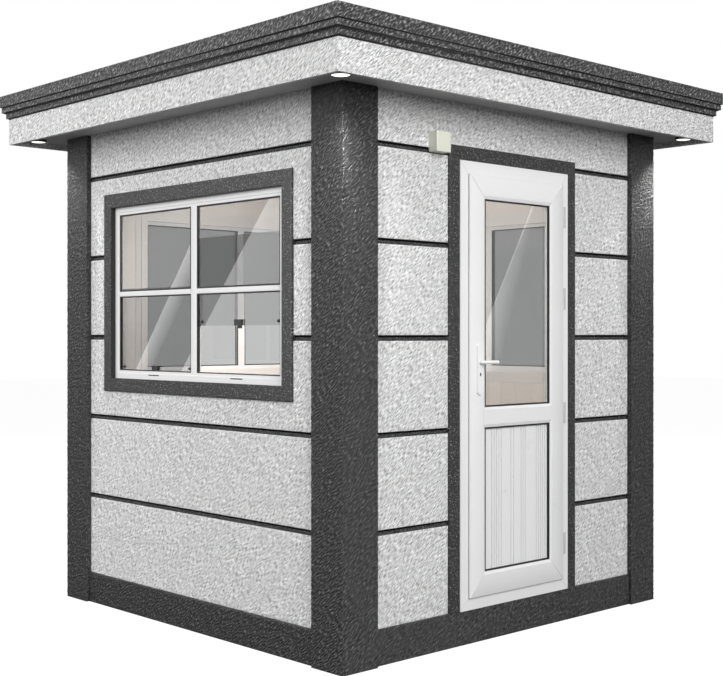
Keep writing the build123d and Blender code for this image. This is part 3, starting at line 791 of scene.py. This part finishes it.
def slanted(tree, long, across):
    """Coat coordinates that wander and are turned to the strokes, one unit to a stroke."""
    flat, vectors = flat_place(tree), "ShaderNodeVectorMath"
    drift = add(tree, "ShaderNodeTexNoise", {"Vector": flat, "Scale": STROKE_DRIFT_SCALE, "Detail": 1.0})
    middle = maths(tree, "SUBTRACT", drift.outputs["Color"], (0.5, 0.5, 0.5), kind=vectors)
    wander = add(tree, vectors, {0: middle, "Scale": STROKE_DRIFT}, operation="SCALE").outputs[0]
    place = maths(tree, "ADD", flat, wander, kind=vectors)
    turn = (0, 0, -math.radians(STROKE_ANGLE))
    along = add(tree, "ShaderNodeMapping", {"Vector": place, "Rotation": turn}).outputs[0]
    return add(tree, "ShaderNodeMapping", {"Vector": along, "Scale": (1 / long, 1 / across, 1)}).outputs[0]


def coat(name, tones, roughness, specular, depth, stroke):
    """Trowelled texture coat: slanted ridges that wander, fine grain, and tones from its pits up that paint
    shade into the pits and highlights onto the ridges.
    """
    material, tree, shader = new_material(name, Specular_IOR_Level=specular)
    strokes = noise(tree, slanted(tree, *stroke), *STROKE_NOISE)
    grain = noise(tree, flat_place(tree), *GRAIN_NOISE)
    height = maths(tree, "MULTIPLY_ADD", grain, GRAIN_SHARE, strokes)
    # Colour follows the height: painted shade low, painted highlights high.
    colour = ramp(tree, height, [(place, grey(tone)) for place, tone in tones])
    rough = mapped(tree, grain, *roughness)
    feed(tree, shader, Normal=bumped(tree, height, depth), Base_Color=colour, Roughness=rough)
    return material


def smooth_plastic(name, colour, roughness, specular=0.5):
    """Moulded or extruded plastic: faint cloud in its colour and gloss, and a fine wave."""
    material, tree, shader = new_material(name, Specular_IOR_Level=specular)
    place = object_place(tree)
    cloud = noise(tree, place, *CLOUD_NOISE)
    wave = bumped(tree, noise(tree, place, GRAIN_SCALE), PLASTIC_WAVE, PLASTIC_WAVE_STRENGTH)
    gloss = mapped(tree, cloud, *[roughness + change for change in GLOSS_SPREAD])
    feed(tree, shader, Base_Color=clouded(tree, cloud, colour, CLOUD_SHADE), Roughness=gloss, Normal=wave)
    return material


def glass(name, tone, index):
    """Tinted pane that lets light through to the room."""
    tint = (tone, tone + GLASS_TINT, tone + GLASS_TINT, 1)
    values = {"Base_Color": tint, "Transmission_Weight": 1.0, "Roughness": 0.0, "IOR": index}
    material, tree, shader = new_material(name, **values)
    path = add(tree, "ShaderNodeLightPath")
    clear = add(tree, "ShaderNodeBsdfTransparent", {"Color": tint})
    inputs = {0: path.outputs["Is Shadow Ray"], 1: shader.outputs[0], 2: clear.outputs[0]}
    feed(tree, tree.nodes["Material Output"], Surface=add(tree, "ShaderNodeMixShader", inputs).outputs[0])
    return material


def glowing(name, colour, strength):
    """Lamp diffuser with a faint cloud in its glow."""
    material, tree, shader = new_material(name, Emission_Strength=strength)
    tint = clouded(tree, noise(tree, object_place(tree), LAMP_CLOUD_SCALE), colour, LAMP_SHADE)
    feed(tree, shader, Base_Color=tint, Emission_Color=tint)
    return material


# Tones, lowest and highest roughness, specular level, depth of the bump and stroke of each coat
COATS = {
    "white_coat": (WHITE_TONES, (0.55, 0.75), 0.3, 0.0120, WHITE_STROKE),
    "dark_coat": (DARK_TONES, (0.32, 0.52), 0.5, 0.0095, DARK_STROKE),
    "cornice_coat": (CORNICE_TONES, (0.34, 0.55), 0.5, 0.0080, DARK_STROKE),
    "dark_trim": (TRIM_TONES, (0.36, 0.5), 0.5, 0.0020, GLINT_FLECK_STROKE),
    # A darker copy of the dark coat for the recessed grooves: painted shade, with light flecks as painted
    # glints.
    "groove_shaded_coat": (GROOVE_TONES, (0.45, 0.65), 0.4, 0.0060, GLINT_FLECK_STROKE),
}
# Colour, roughness and, where it isn't the usual one, specular level of each smooth material
PLASTICS = {
    # Near-black core with almost no gloss, so the open top of each groove reads as a black shadow line: the
    # core's own dark colour, deepened as painted shade.
    "groove": (grey(0.004), 0.7, 0.05),
    "white_frame": (grey(0.755), 0.28),
    "lining": ((0.78, 0.73, 0.685, 1), 0.5),
    "casing": ((0.74, 0.715, 0.69, 1), 0.4),
    "rubber": (grey(0.012), 0.55),
    "lamp_rim": (grey(0.05), 0.4),
    "floor": ((0.32, 0.26, 0.20, 1), 0.45),
    "steel": (grey(0.10), 0.5),
    # The soffit's white is dimmed to a mid grey so its underside looks shaded: painted shade.
    "soffit_white": (grey(0.42), 0.5),
    "hinge_grey": (grey(0.50), 0.35),
    "handle_white": (grey(0.80), 0.25),
    "grip_black": (grey(0.015), 0.45),
    "box_cream": ((0.67, 0.68, 0.59, 1), 0.4),
    "roofing": (grey(0.07), 0.8),
    "roof_core": (grey(0.6), 0.7),
}
# Tone and refractive index of each pane. The tones differ between panes of one glass, each set for how bright
# the room looks through it: painted shade and light.
PANES = {
    "glass": (0.68, STREAK_INDEX),
    "back_glass": (0.55, PANE_INDEX),
    "right_glass": (0.32, PANE_INDEX),
    "service_glass": (0.45, STREAK_INDEX),
    "lifting_glass": (0.36, STREAK_INDEX),
}
SERVICE_PANES = {"service_window_glass": "service_glass", "service_window_lifting_panes": "lifting_glass"}
MATERIALS = {name: coat(name, *values) for name, values in COATS.items()}
MATERIALS |= {name: smooth_plastic(name, *values) for name, values in PLASTICS.items()}
MATERIALS |= {name: glass(name, *values) for name, values in PANES.items()}
MATERIALS["lamp"] = glowing("lamp", LAMP_COLOUR, LAMP_GLOW)


def dress_nodes():
    """Each shown CAD node takes its slot's material."""
    slots = {row["node"]: row["material_slot"] for row in frame["record"]["subparts"]}
    for name, obj in frame["nodes"].items():
        obj.data.materials.clear()
        obj.data.materials.append(MATERIALS[SERVICE_PANES.get(name, slots[name])])


# Walls

def wall_holes():
    """What the boards of each wall are cut round."""
    holes = {side: grown(WINDOW_HOLE, WINDOW_TRIM) for side in WINDOW_SIDES}
    holes["front"] = grown(DOOR_HOLE, DOOR_TRIM, foot=0)
    return holes


def courses():
    """Foot and head of each course of boards."""
    grooves = [FIRST_GROOVE + GROOVE_PITCH * k for k in range(GROOVE_COUNT)]
    lows = [PLINTH_TOP] + [g + GROOVE_HEIGHT / 2 for g in grooves]
    highs = [g - GROOVE_HEIGHT / 2 for g in grooves] + [POST_TOP]
    return zip(lows, highs)


def wall_boards(side, hole, offset):
    """All the courses of one wall, cut round the trim in it."""
    (left, right), (low, high) = hole
    boards = []
    for tall in courses():
        crosses = low < tall[1] and high > tall[0]
        spans, cut = [both(BAY_HALF)], hole if crosses else None
        if crosses and low <= tall[0] and high >= tall[1]:
            spans, cut = [(-BAY_HALF, left), (right, BAY_HALF)], None
        for span in spans:
            boards.append(sheet(
                side, span, tall, BOARD_FACE, CORE_FACE, WHITE_RELIEF, BOARD_RELIEF, cut, offset, BOARD_GRID))
    return join(boards)


def groove_strips(side, hole, offset):
    """Coated fillet in the foot of each groove, up to the trim where it meets one. The top stays open."""
    (left, right), (low, high) = hole
    strips = []
    for k in range(GROOVE_COUNT):
        middle = FIRST_GROOVE + GROOVE_PITCH * k
        tall = (middle - GROOVE_HEIGHT / 2, middle + GROOVE_HEIGHT / 2 - GROOVE_SHADOW)
        spans = [(-BAY_HALF, left), (right, BAY_HALF)] if low < middle < high else [both(BAY_HALF)]
        face = CORE_FACE + GROOVE_FILL
        for span in spans:
            strips.append(sheet(side, span, tall, face, CORE_FACE, DARK_RELIEF, GROOVE_RELIEF, offset=offset))
    return join(strips)


def build_walls():
    """Boards of each wall, and what fills the grooves between them."""
    for k, (side, hole) in enumerate(wall_holes().items()):
        boards = wall_boards(side, hole, BOARD_SHIFT * k)
        piece(f"{side}_boards", boards, "white_coat", replaces=[f"{side}_wall_boards"])
        piece(f"{side}_groove_strips", groove_strips(side, hole, GROOVE_SHIFT * k), "groove_shaded_coat", "groove")


def build_dark_trim():
    """Surrounds of the windows and the door, plinths and corner posts."""
    surrounds = []
    for k, side in enumerate(WINDOW_SIDES):
        outer, hole, shift = grown(WINDOW_HOLE, WINDOW_TRIM), grown(WINDOW_HOLE, 0), TRIM_SHIFT * k
        surrounds.append(sheet(side, *outer, TRIM_FACE, CORE_FACE, DARK_RELIEF, TRIM_RELIEF, hole, shift))
    piece("window_surrounds", join(surrounds), "dark_trim", "dark_coat", replaces=["window_trims"])
    outer, hole = grown(DOOR_HOLE, DOOR_TRIM, foot=PLINTH_TOP), grown(DOOR_HOLE, 0, foot=0)
    surround = sheet("front", *outer, TRIM_FACE, CORE_FACE, DARK_RELIEF, TRIM_RELIEF, hole, DOOR_TRIM_SHIFT)
    piece("door_surround", surround, "dark_trim", "dark_coat", replaces=["door_trim"])
    plinths = []
    for k, side in enumerate(WALLS):
        tall, shift = (0, PLINTH_TOP), PLINTH_SHIFT * k
        plinths.append(sheet(
            side, both(BAY_HALF), tall, PLINTH_FACE, CORE_BACK, DARK_RELIEF, PLINTH_RELIEF, offset=shift))
    piece("plinth_boards", join(plinths), "dark_coat", replaces=["plinths"])
    for k in range(len(WALLS)):
        post = post_shape(k * math.pi / 2, POST_SHIFT * k)
        piece(f"post_{k + 1}", post, "dark_coat", replaces=["corner_posts"])


# Roof

def build_roof_edge():
    """Coated fascia, and a stepped cornice over it with a thin black strip lining the notch under each step,
    a painted shadow.
    """
    inner, outer = FASCIA_INNER, FASCIA_HALF
    band = [(inner, FASCIA_FOOT), (outer, FASCIA_FOOT), (outer, FASCIA_TOP), (inner, FASCIA_TOP)]
    fascia = square_sweep(band, {1}, WHITE_RELIEF, FASCIA_RELIEF)
    piece("fascia_band", fascia, "white_coat", replaces=["fascia"], weld=True)
    outline = [(CORNICE_INNER, ROOF_TOP), (CORNICE_INNER, FASCIA_TOP)]
    joints, coated, low = [], set(), FASCIA_TOP
    skin = CORNICE_SHADOW * SHADOW_STRIP_SKIN_SHARE
    for reach, height in zip(CORNICE_REACHES, CORNICE_HEIGHTS):
        out, top = FASCIA_HALF + reach, low + CORNICE_SHADOW
        notch = out - CORNICE_SHADOW * 2
        coated.add(len(outline) + 2)
        outline += [(notch, low), (notch, top), (out, top), (out, low + height)]
        # Black strips lining the back and ceiling of each notch: painted shadow under the step.
        joints.append(square_sweep([
            (notch, low), (notch + skin, low), (notch + skin, top - skin), (out - skin, top - skin),
            (out - skin, top), (notch, top),
        ]))
        low += height
    coated.add(len(outline) - 1)
    cornice = square_sweep(outline, coated, DARK_RELIEF, CORNICE_RELIEF, CORNICE_SINK)
    piece("cornice_moulding", cornice, "cornice_coat", "dark_coat", replaces=["cornice"], weld=True)
    piece("cornice_shadow_strips", join(joints), "rubber", "grip_black", weld=True)


def build_roof_deck():
    """Roofing in strips with raised laps between them, falling towards the back."""
    half = CORNICE_INNER
    edges = np.linspace(-half, half, ROOF_STRIPS + 1)
    lap_foot = ROOF_HIGH - ROOF_FALL - ROOF_LAP_DEPTH
    strips = [(a, b, ROOF_LAP_RISE, FASCIA_TOP) for a, b in zip(edges, edges[1:])]
    strips += [(e - ROOF_LAP_HALF, e + ROOF_LAP_HALF, 0.0, lap_foot) for e in edges[1:-1]]
    shapes = []
    for a, b, drop, foot in strips:
        ends = []
        for y, fall in ((-half, 0.0), (half, ROOF_FALL)):
            top = ROOF_HIGH - fall - drop
            low = min(foot, top - ROOF_SKIN)
            ends.append([(a, y, low), (b, y, low), (b, y, top), (a, y, top)])
        shapes.append(prism(ends))
    bars("roof_sheets", shapes, "roofing", replaces=["roof_cover"])


# Room

def lining_board(side, a, b, tall):
    outline = [
        (a, CORE_BACK), (b, CORE_BACK), (b, ROOM_HALF + LINING_JOINT), (b - LINING_JOINT, ROOM_HALF),
        (a + LINING_JOINT, ROOM_HALF), (a, ROOM_HALF + LINING_JOINT),
    ]
    return upright_bar(side, tall, outline)


def lining_boards(side, half, hole):
    """Upright boards with V joints beside and under the opening, one plain board over it."""
    (left, right), (low, high) = hole
    edges = []
    for a, b in ((-half, left), (left, right), (right, half)):
        count = max(1, round((b - a) / LINING_BOARD))
        edges += [a + (b - a) * k / count for k in range(count)]
    edges.append(half)
    boards = [lining_board(side, left, right, (high, SOFFIT_LEVEL))]
    for a, b in zip(edges, edges[1:]):
        inside = left - MITRE_GAP < a and b < right + MITRE_GAP
        top = low if inside else SOFFIT_LEVEL
        if top > PLINTH_TOP:
            boards.append(lining_board(side, a, b, (PLINTH_TOP, top)))
    return boards


def planks(face, back, width, joint):
    """Boards side by side across the room, their joints open on the face."""
    edges = np.linspace(-CORE_BACK, CORE_BACK, round(2 * CORE_BACK / width) + 1)
    dip = face + math.copysign(joint, back - face)
    rows = []
    for a, b in zip(edges, edges[1:]):
        outline = [(a, back), (b, back), (b, dip), (b - joint, face), (a + joint, face), (a, dip)]
        rows.append(prism([[(x, y, z) for x, z in outline] for y in both(CORE_BACK)]))
    return rows


def build_room():
    """Lined walls, ceiling and floor of boards."""
    for side in WALLS:
        half = CORE_BACK if side in ("front", "back") else ROOM_HALF
        hole = grown(DOOR_HOLE if side == "front" else WINDOW_HOLE, 0)
        boards = lining_boards(side, half, hole)
        bars(f"{side}_lining_boards", boards, "lining", replaces=[f"{side}_wall_lining"])
    ceiling = planks(SOFFIT_LEVEL, POST_TOP, LINING_BOARD, LINING_JOINT)
    bars("ceiling_boards", ceiling, "lining", replaces=["ceiling_lining"])
    floor = planks(PLINTH_TOP, FLOOR_FOOT, PLANK, PLANK_JOINT)
    bars("floor_planks", floor, "floor", replaces=["floor_panel"])


# Windows

def frame_bars(side, back, pane):
    """Mitred window frame with a stepped inner edge, and a centre mullion. Both lap the pane's edges."""
    front, step = WINDOW_FACE, WINDOW_FACE - FRAME_STEP
    lap = 1 + GLASS_COVER / FRAME_FACE
    outline = [
        (0, back), (0, front), (FRAME_STEP_SHARE, front), (FRAME_STEP_SHARE + FRAME_SLOPE_SHARE, step),
        (1, step), (1, pane), (lap, pane), (lap, back),
    ]
    half, wide = MULLION_HALF, MULLION_HALF + GLASS_COVER
    bar = [
        (-wide, back), (-wide, pane), (-half, pane), (-half, step), (half, step), (half, pane), (wide, pane),
        (wide, back),
    ]
    ring = mitred(side, grown(WINDOW_HOLE, 0), grown(WINDOW_HOLE, -FRAME_FACE), outline)
    return join([ring, upright_bar(side, LIGHT_TALL, rounded(bar, FRAME_ROUND, {3, 4}))])


def transom_bars():
    """Bars between the service window's fixed and lifting panes."""
    low, high = TRANSOM
    front, seat = WINDOW_FACE, SERVICE_GLASS - TRANSOM_SEAT
    outline = rounded([(low, seat), (low, front), (high, front), (high, seat)], FRAME_ROUND, {1, 2})
    return [level_bar("left", light, outline) for light in LIGHTS]


def casing(side, frame_back):
    """Boards round the opening behind the frame, and a stepped architrave over the lining."""
    width = CASING_LAP + CASING_THICK
    lap, step = CASING_LAP / width, 1 - CASING_BAND / width
    low = CASING_FACE + CASING_STEP
    outline = [
        (lap, frame_back), (1, frame_back), (1, CASING_FACE), (step, CASING_FACE), (step, low), (0, low),
        (0, ROOM_HALF), (lap, ROOM_HALF),
    ]
    return mitred(side, grown(WINDOW_HOLE, CASING_LAP), grown(WINDOW_HOLE, -CASING_THICK), outline)


def gasket_ring(side, u, v, front, back, face=GASKET):
    """Ring of rubber along the inside of a light, its inner edge sloped."""
    outline = [(0, back), (0, front), (GASKET_FLAT_SHARE, front), (1, front - GASKET_SLOPE), (1, back)]
    return mitred(side, rect(u, v), rect(u, v, -face), outline, 0.0)


def window_gaskets():
    """Rubber on both faces of the fixed panes, and outside the service window's."""
    rings = []
    faces = (
        (FIXED_GLASS + FIXED_GASKET_PROUD, FIXED_GLASS), (FIXED_GLASS_BACK, FIXED_BACK - FIXED_GASKET_LAP),
    )
    for side in FIXED_SIDES:
        for light in LIGHTS:
            rings += [gasket_ring(side, light, LIGHT_TALL, *face) for face in faces]
    front = WINDOW_FACE - GASKET_SETBACK
    for light in LIGHTS:
        over, under = (TRANSOM[1], LIGHT_TALL[1]), (LIGHT_TALL[0], TRANSOM[0])
        rings.append(gasket_ring("left", light, over, front, SERVICE_GLASS, SERVICE_GASKET))
        rings.append(gasket_ring("left", light, under, front, SERVICE_PANE + PANE_GASKET_GAP))
    return rings


def reveal_shade_seal(side):
    """Dark seal down both jambs and along the head, between the trim and the frame. It is partly a real seal
    and partly painted shade, made black so the reveal reads as shadowed.
    """
    half, low, high = WINDOW_HOLE
    back, front = WINDOW_FACE, TRIM_FACE - SEAL_SETBACK
    jambs = [
        upright_bar(side, (low, high), [(u, back), (u + SEAL, back), (u + SEAL, front), (u, front)])
        for u in (-half, half - SEAL)
    ]
    head = [(high - SEAL, back), (high - SEAL, front), (high, front), (high, back)]
    return join(jambs + [level_bar(side, both(half - SEAL), head)])


def drain_slot(side, light):
    """Dark slot insert in the frame's sill, with rounded ends."""
    outline = slot_outline(sum(light) / 2, WINDOW_HOLE[1] + DRAIN_RISE, DRAIN_RADIUS, DRAIN_HALF, level=True)
    return standing_bar(side, (WINDOW_FACE + DRAIN_PROUD, WINDOW_FACE - DRAIN_DEPTH), outline)


def build_windows():
    """Panes, frames and casings of the three windows, with their rubber and drain slots."""
    lights = [rect(light, LIGHT_TALL) for light in LIGHTS]
    for side in FIXED_SIDES:
        panes = [soft_block(side, light, FIXED_GLASS_BACK, FIXED_GLASS, ARRIS) for light in lights]
        bars(f"{side}_window_panes", panes, f"{side}_glass", "glass", replaces=["fixed_window_glass"])
    fixed = [frame_bars(side, FIXED_BACK, FIXED_GLASS - MITRE_GAP) for side in FIXED_SIDES]
    bars("fixed_frame_bars", fixed, "white_frame", replaces=["fixed_window_frames"])
    casings = [casing("left", SERVICE_BACK)] + [casing(side, FIXED_BACK) for side in FIXED_SIDES]
    bars("window_casing_boards", casings, "casing", "white_frame", replaces=["window_casings"])
    service = [frame_bars("left", SERVICE_BACK, SERVICE_GLASS - MITRE_GAP), *transom_bars()]
    bars("service_frame_bars", service, "white_frame", replaces=["service_window_frame"])
    bars("window_gaskets", window_gaskets(), "rubber", "grip_black")
    bars("window_reveal_shade_seals", [reveal_shade_seal(side) for side in WINDOW_SIDES], "rubber", "grip_black")
    slots = [drain_slot(side, light) for side in WINDOW_SIDES for light in LIGHTS]
    bars("window_drain_slots", slots, "rubber", "grip_black")


# Door

def leaf_bars():
    """Lapped stiles and rails of the leaf, with its middle rail."""
    lip = rect(both(LEAF_HALF), LEAF_TALL)
    inner = rect(both(INFILL_HALF), (PANEL_TALL[0], GLASS_TALL[1]), BEAD)
    width = inner[0][0] - lip[0][0]
    inset, edge = LEAF_INSET / width, FRAME_ROUND / width
    outline = [
        (0, LIP_BACK), (0, LEAF_FRONT - FRAME_ROUND),
        (edge * LEAF_ROUND_SHARE, LEAF_FRONT - FRAME_ROUND * LEAF_ROUND_SHARE), (edge, LEAF_FRONT),
        (1, LEAF_FRONT), (1, LEAF_BACK), (inset, LEAF_BACK), (inset, LIP_BACK),
    ]
    low, high = PANEL_TALL[1] + BEAD, GLASS_TALL[0] - BEAD
    rail = [(low, LEAF_BACK), (low, LEAF_FRONT), (high, LEAF_FRONT), (high, LEAF_BACK)]
    across = both(INFILL_HALF + BEAD - MITRE_GAP)
    return [mitred("front", lip, inner, outline), level_bar("front", across, rail)]


def glazing_bead(hole):
    """Sloped bead round the glass or the panel, which laps its edges."""
    lap = 1 + GLASS_COVER / BEAD
    pane = INFILL_FRONT - MITRE_GAP
    outline = [
        (0, LEAF_BACK), (0, LEAF_FRONT - BEAD_EASE), (BEAD_EASE_SHARE, LEAF_FRONT),
        (1, LEAF_FRONT - BEAD_DROP), (1, pane), (lap, pane), (lap, LEAF_BACK),
    ]
    return mitred("front", rect(*hole, BEAD), hole, outline)


def panel_face(face, inwards):
    """Points across a face of the panel: flat bands between bands of fine flutes."""
    points = [(-INFILL_HALF, face)]
    left = -INFILL_HALF
    deep = face + inwards * FLUTE_DEPTH
    for k, width in enumerate(PANEL_BANDS):
        count = round(width / FLUTE_PITCH) if k % 2 else 0
        for i in range(count):
            middle = left + width * (i + 0.5) / count
            start, end = middle - FLUTE / 2, middle + FLUTE / 2
            points += [(start, face), (start, deep), (end, deep), (end, face)]
        left += width
    return points + [(INFILL_HALF, face)]


def build_door():
    """Frame on the booth, then the leaf, its beads, rubber and fluted panel on the door."""
    opening = rect(both(LEAF_HALF), LEAF_TALL, -LIP_LAP)
    outline = [(0, ROOM_HALF), (0, DOOR_FRONT), (1, DOOR_FRONT), (1, ROOM_HALF)]
    ring = mitred("front", grown(DOOR_HOLE, 0), opening, outline)
    bars("door_frame_bars", [ring], "white_frame", replaces=["door_frame"])
    bars("door_leaf_bars", leaf_bars(), "white_frame", body="door", replaces=["door_leaf"])
    holes = [rect(both(INFILL_HALF), tall) for tall in (PANEL_TALL, GLASS_TALL)]
    beads = [glazing_bead(hole) for hole in holes]
    bars("door_glazing_beads", beads, "white_frame", body="door", replaces=["door_leaf"])
    front = LEAF_FRONT - BEAD_DROP + DOOR_GASKET_PROUD
    seals = [gasket_ring("front", *hole, front, INFILL_FRONT, DOOR_GASKET) for hole in holes]
    bars("door_gaskets", seals, "rubber", "grip_black", body="door")
    outline = panel_face(INFILL_FRONT, -1) + panel_face(INFILL_BACK, 1)[::-1]
    panel = upright_bar("front", PANEL_TALL, outline)
    bars("door_fluted_panel", [panel], "white_frame", body="door", replaces=["door_panel"], sharp=PANEL_SHARP)


def build_door_fittings():
    """Cylinder ends in the keyholes."""
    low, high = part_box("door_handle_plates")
    outline = slot_outline((low.x + high.x) / 2, KEYHOLE_LEVEL, LOCK_RADIUS, LOCK_HALF)
    outs = (LEAF_FRONT, -low.y + LOCK_PROUD), (LEAF_BACK, -high.y - LOCK_PROUD)
    ends = [standing_bar("front", pair, outline) for pair in outs]
    bars("lock_cylinders", ends, "rubber", "grip_black", body="door")


# Fittings

def build_downlights():
    """A dark rim, a glowing lens and a lamp at each corner of the soffit."""
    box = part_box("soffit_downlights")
    radius, low = DOWNLIGHT_RADIUS, box[LOW].z
    inner, seat, ease = radius - DOWNLIGHT_RIM, low + DOWNLIGHT_SEAT, DOWNLIGHT_EASE
    rim = [
        (0, seat), (inner, seat), (inner, low + ease), (inner + ease, low), (radius - ease, low),
        (radius, low + ease), (radius, SOFFIT_LEVEL), (0, SOFFIT_LEVEL),
    ]
    lens = [(inner * share, low + rise) for share, rise in LENS_CROWN]
    lens += [(inner - LENS_FIT, low + LENS_EDGE), (inner - LENS_FIT, seat), (0, seat)]
    spots = [(x, y) for x in both(box[HIGH].x - radius) for y in both(box[HIGH].x - radius)]
    rings, lenses = ([turned(*spot, outline) for spot in spots] for outline in (rim, lens))
    bars("downlight_rims", rings, "lamp_rim", "lamp", replaces=["soffit_downlights"])
    bars("downlight_lenses", lenses, "lamp", replaces=["soffit_downlights"])
    for x, y in spots:
        name = f"downlight_{'left' if x < 0 else 'right'}_{'front' if y < 0 else 'back'}"
        place = (x, y, low - DOWNLIGHT_LAMP_DROP)
        light = lamp(name, "SPOT", place, (x, y, 0), DOWNLIGHT_POWER, DOWNLIGHT_LAMP_SIZE).data
        light.spot_size = math.radians(DOWNLIGHT_CONE)
        light.spot_blend = 1.0


def build_junction_box():
    """Moulded box with a lid on a fine shadow gap."""
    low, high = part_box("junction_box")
    face = rect((low.x, high.x), (low.z, high.z))
    seam = -low.y - BOX_LID
    body = soft_block("front", rect(*face, -BOX_INSET), BOARD_FACE, seam - BOX_SHADOW, BOX_ROUND)
    lid = soft_block("front", face, seam, -low.y, BOX_LID_ROUND)
    bars("junction_box_body", [body], "box_cream", replaces=["junction_box"])
    bars("junction_box_lid", [lid], "box_cream", replaces=["junction_box"])


# Studio

def seen(tree):
    """1 for rays from the eye, also through glass, and 0 for light on the object."""
    path = add(tree, "ShaderNodeLightPath").outputs
    rays = {0: path["Is Camera Ray"], 1: path["Is Transmission Ray"]}
    return add(tree, "ShaderNodeMath", rays, operation="ADD", use_clamp=True).outputs[0]


def show(obj, hidden_from=()):
    """Puts an object in the scene, unseen by some kinds of ray."""
    for ray in hidden_from:
        setattr(obj, f"visible_{ray}", False)
    bpy.context.scene.collection.objects.link(obj)
    return obj


def studio_world():
    """White to the eye and through glass, softer as light on the object."""
    world = bpy.data.worlds.new("studio")
    bpy.context.scene.world = world
    world.use_nodes = True
    tree = world.node_tree
    background = tree.nodes["Background"]
    background.inputs["Color"].default_value = (1, 1, 1, 1)
    feed(tree, background, Strength=mapped(tree, seen(tree), WORLD_LIGHT, 1.0))


def studio_floor():
    """Pale floor, white where it is fully lit, that keeps the booth's shadow."""
    mesh = bpy.data.meshes.new("studio_floor")
    corners = [(x * FLOOR_REACH, y * FLOOR_REACH, 0) for x, y in ((-1, -1), (1, -1), (1, 1), (-1, 1))]
    mesh.from_pydata(corners, [], [(0, 1, 2, 3)])
    material, tree, shader = new_material(
        "studio_floor", Roughness=0.9, Specular_IOR_Level=0.0, Emission_Color=(1, 1, 1, 1))
    cloud = noise(tree, object_place(tree), FLOOR_CLOUD_SCALE)
    tint = ramp(tree, cloud, [(place, grey(tone)) for place, tone in zip(CLOUD_STOPS, FLOOR_GREYS)])
    glow = maths(tree, "MULTIPLY", seen(tree), FLOOR_GLOW)
    feed(tree, shader, Base_Color=tint, Emission_Strength=glow)
    mesh.materials.append(material)
    floor = show(bpy.data.objects.new("studio_floor", mesh))


def lamp(name, kind, place, target, power, size, hidden_from=()):
    """Lamp of a size, turned to a target."""
    light = bpy.data.lights.new(name, kind)
    light.energy = power
    if kind == "AREA":
        light.size = size
    else:
        light.shadow_soft_size = size
    obj = bpy.data.objects.new(name, light)
    obj.rotation_mode = "QUATERNION"
    obj.rotation_quaternion = (Vector(target) - Vector(place)).to_track_quat("-Z", "Y")
    obj.location = place
    return show(obj, hidden_from)


def streak_card(name, corners, left, right):
    """Strip that only gloss sees, for a slanting streak in a pane. Its glow changes from left to right."""
    mesh = bpy.data.meshes.new(name)
    mesh.from_pydata(corners, [], [(0, 1, 2, 3)])
    across = mesh.uv_layers.new(name="across")
    for loop, u in enumerate((0, 1, 1, 0)):
        across.data[loop].uv = (u, 0)
    material = bpy.data.materials.new(name)
    material.use_nodes = True
    tree = material.node_tree
    place = add(tree, "ShaderNodeUVMap", uv_map="across").outputs["UV"]
    share = add(tree, "ShaderNodeSeparateXYZ", {0: place}).outputs[0]
    glow = add(tree, "ShaderNodeEmission", {"Strength": mapped(tree, share, left, right)}).outputs[0]
    feed(tree, tree.nodes["Material Output"], Surface=glow)
    mesh.materials.append(material)
    hidden_from = ("camera", "diffuse", "transmission", "volume_scatter", "shadow")
    card = show(bpy.data.objects.new(name, mesh), hidden_from)


def studio_lights():
    """Key and side lamps, a fill behind and a lamp in the room that stay unseen, and the streaks."""
    lamp("key", "AREA", KEY_PLACE, AREA_TARGET, KEY_POWER, AREA_SIZE)
    lamp("side", "AREA", SIDE_PLACE, AREA_TARGET, SIDE_POWER, AREA_SIZE)
    unseen = ("camera", "glossy", "transmission")
    lamp("fill", "AREA", FILL_PLACE, AREA_TARGET, FILL_POWER, AREA_SIZE, unseen)
    lamp("room", "POINT", ROOM_PLACE, (0, 0, 0), ROOM_POWER, ROOM_LAMP_SIZE, unseen)
    for name, values in STREAKS.items():
        streak_card(name, *values)


def camera():
    """Camera at the photograph's viewpoint."""
    data = bpy.data.cameras.new("photo")
    data.lens = CAMERA_LENS
    data.sensor_width = CAMERA_SENSOR
    data.sensor_fit = "HORIZONTAL"
    data.shift_x, data.shift_y = CAMERA_SHIFT
    obj = bpy.data.objects.new("photo", data)
    obj.location = CAMERA_PLACE
    obj.rotation_euler = (math.radians(90), 0, math.radians(CAMERA_YAW))
    bpy.context.scene.camera = show(obj)


dress_nodes()
build_walls()
build_dark_trim()
build_roof_edge()
build_room()
build_windows()
build_door()
build_door_fittings()
build_downlights()
build_roof_deck()
build_junction_box()
studio_world()
studio_floor()
studio_lights()
camera()
bpy.context.scene.view_settings.view_transform = "Standard"
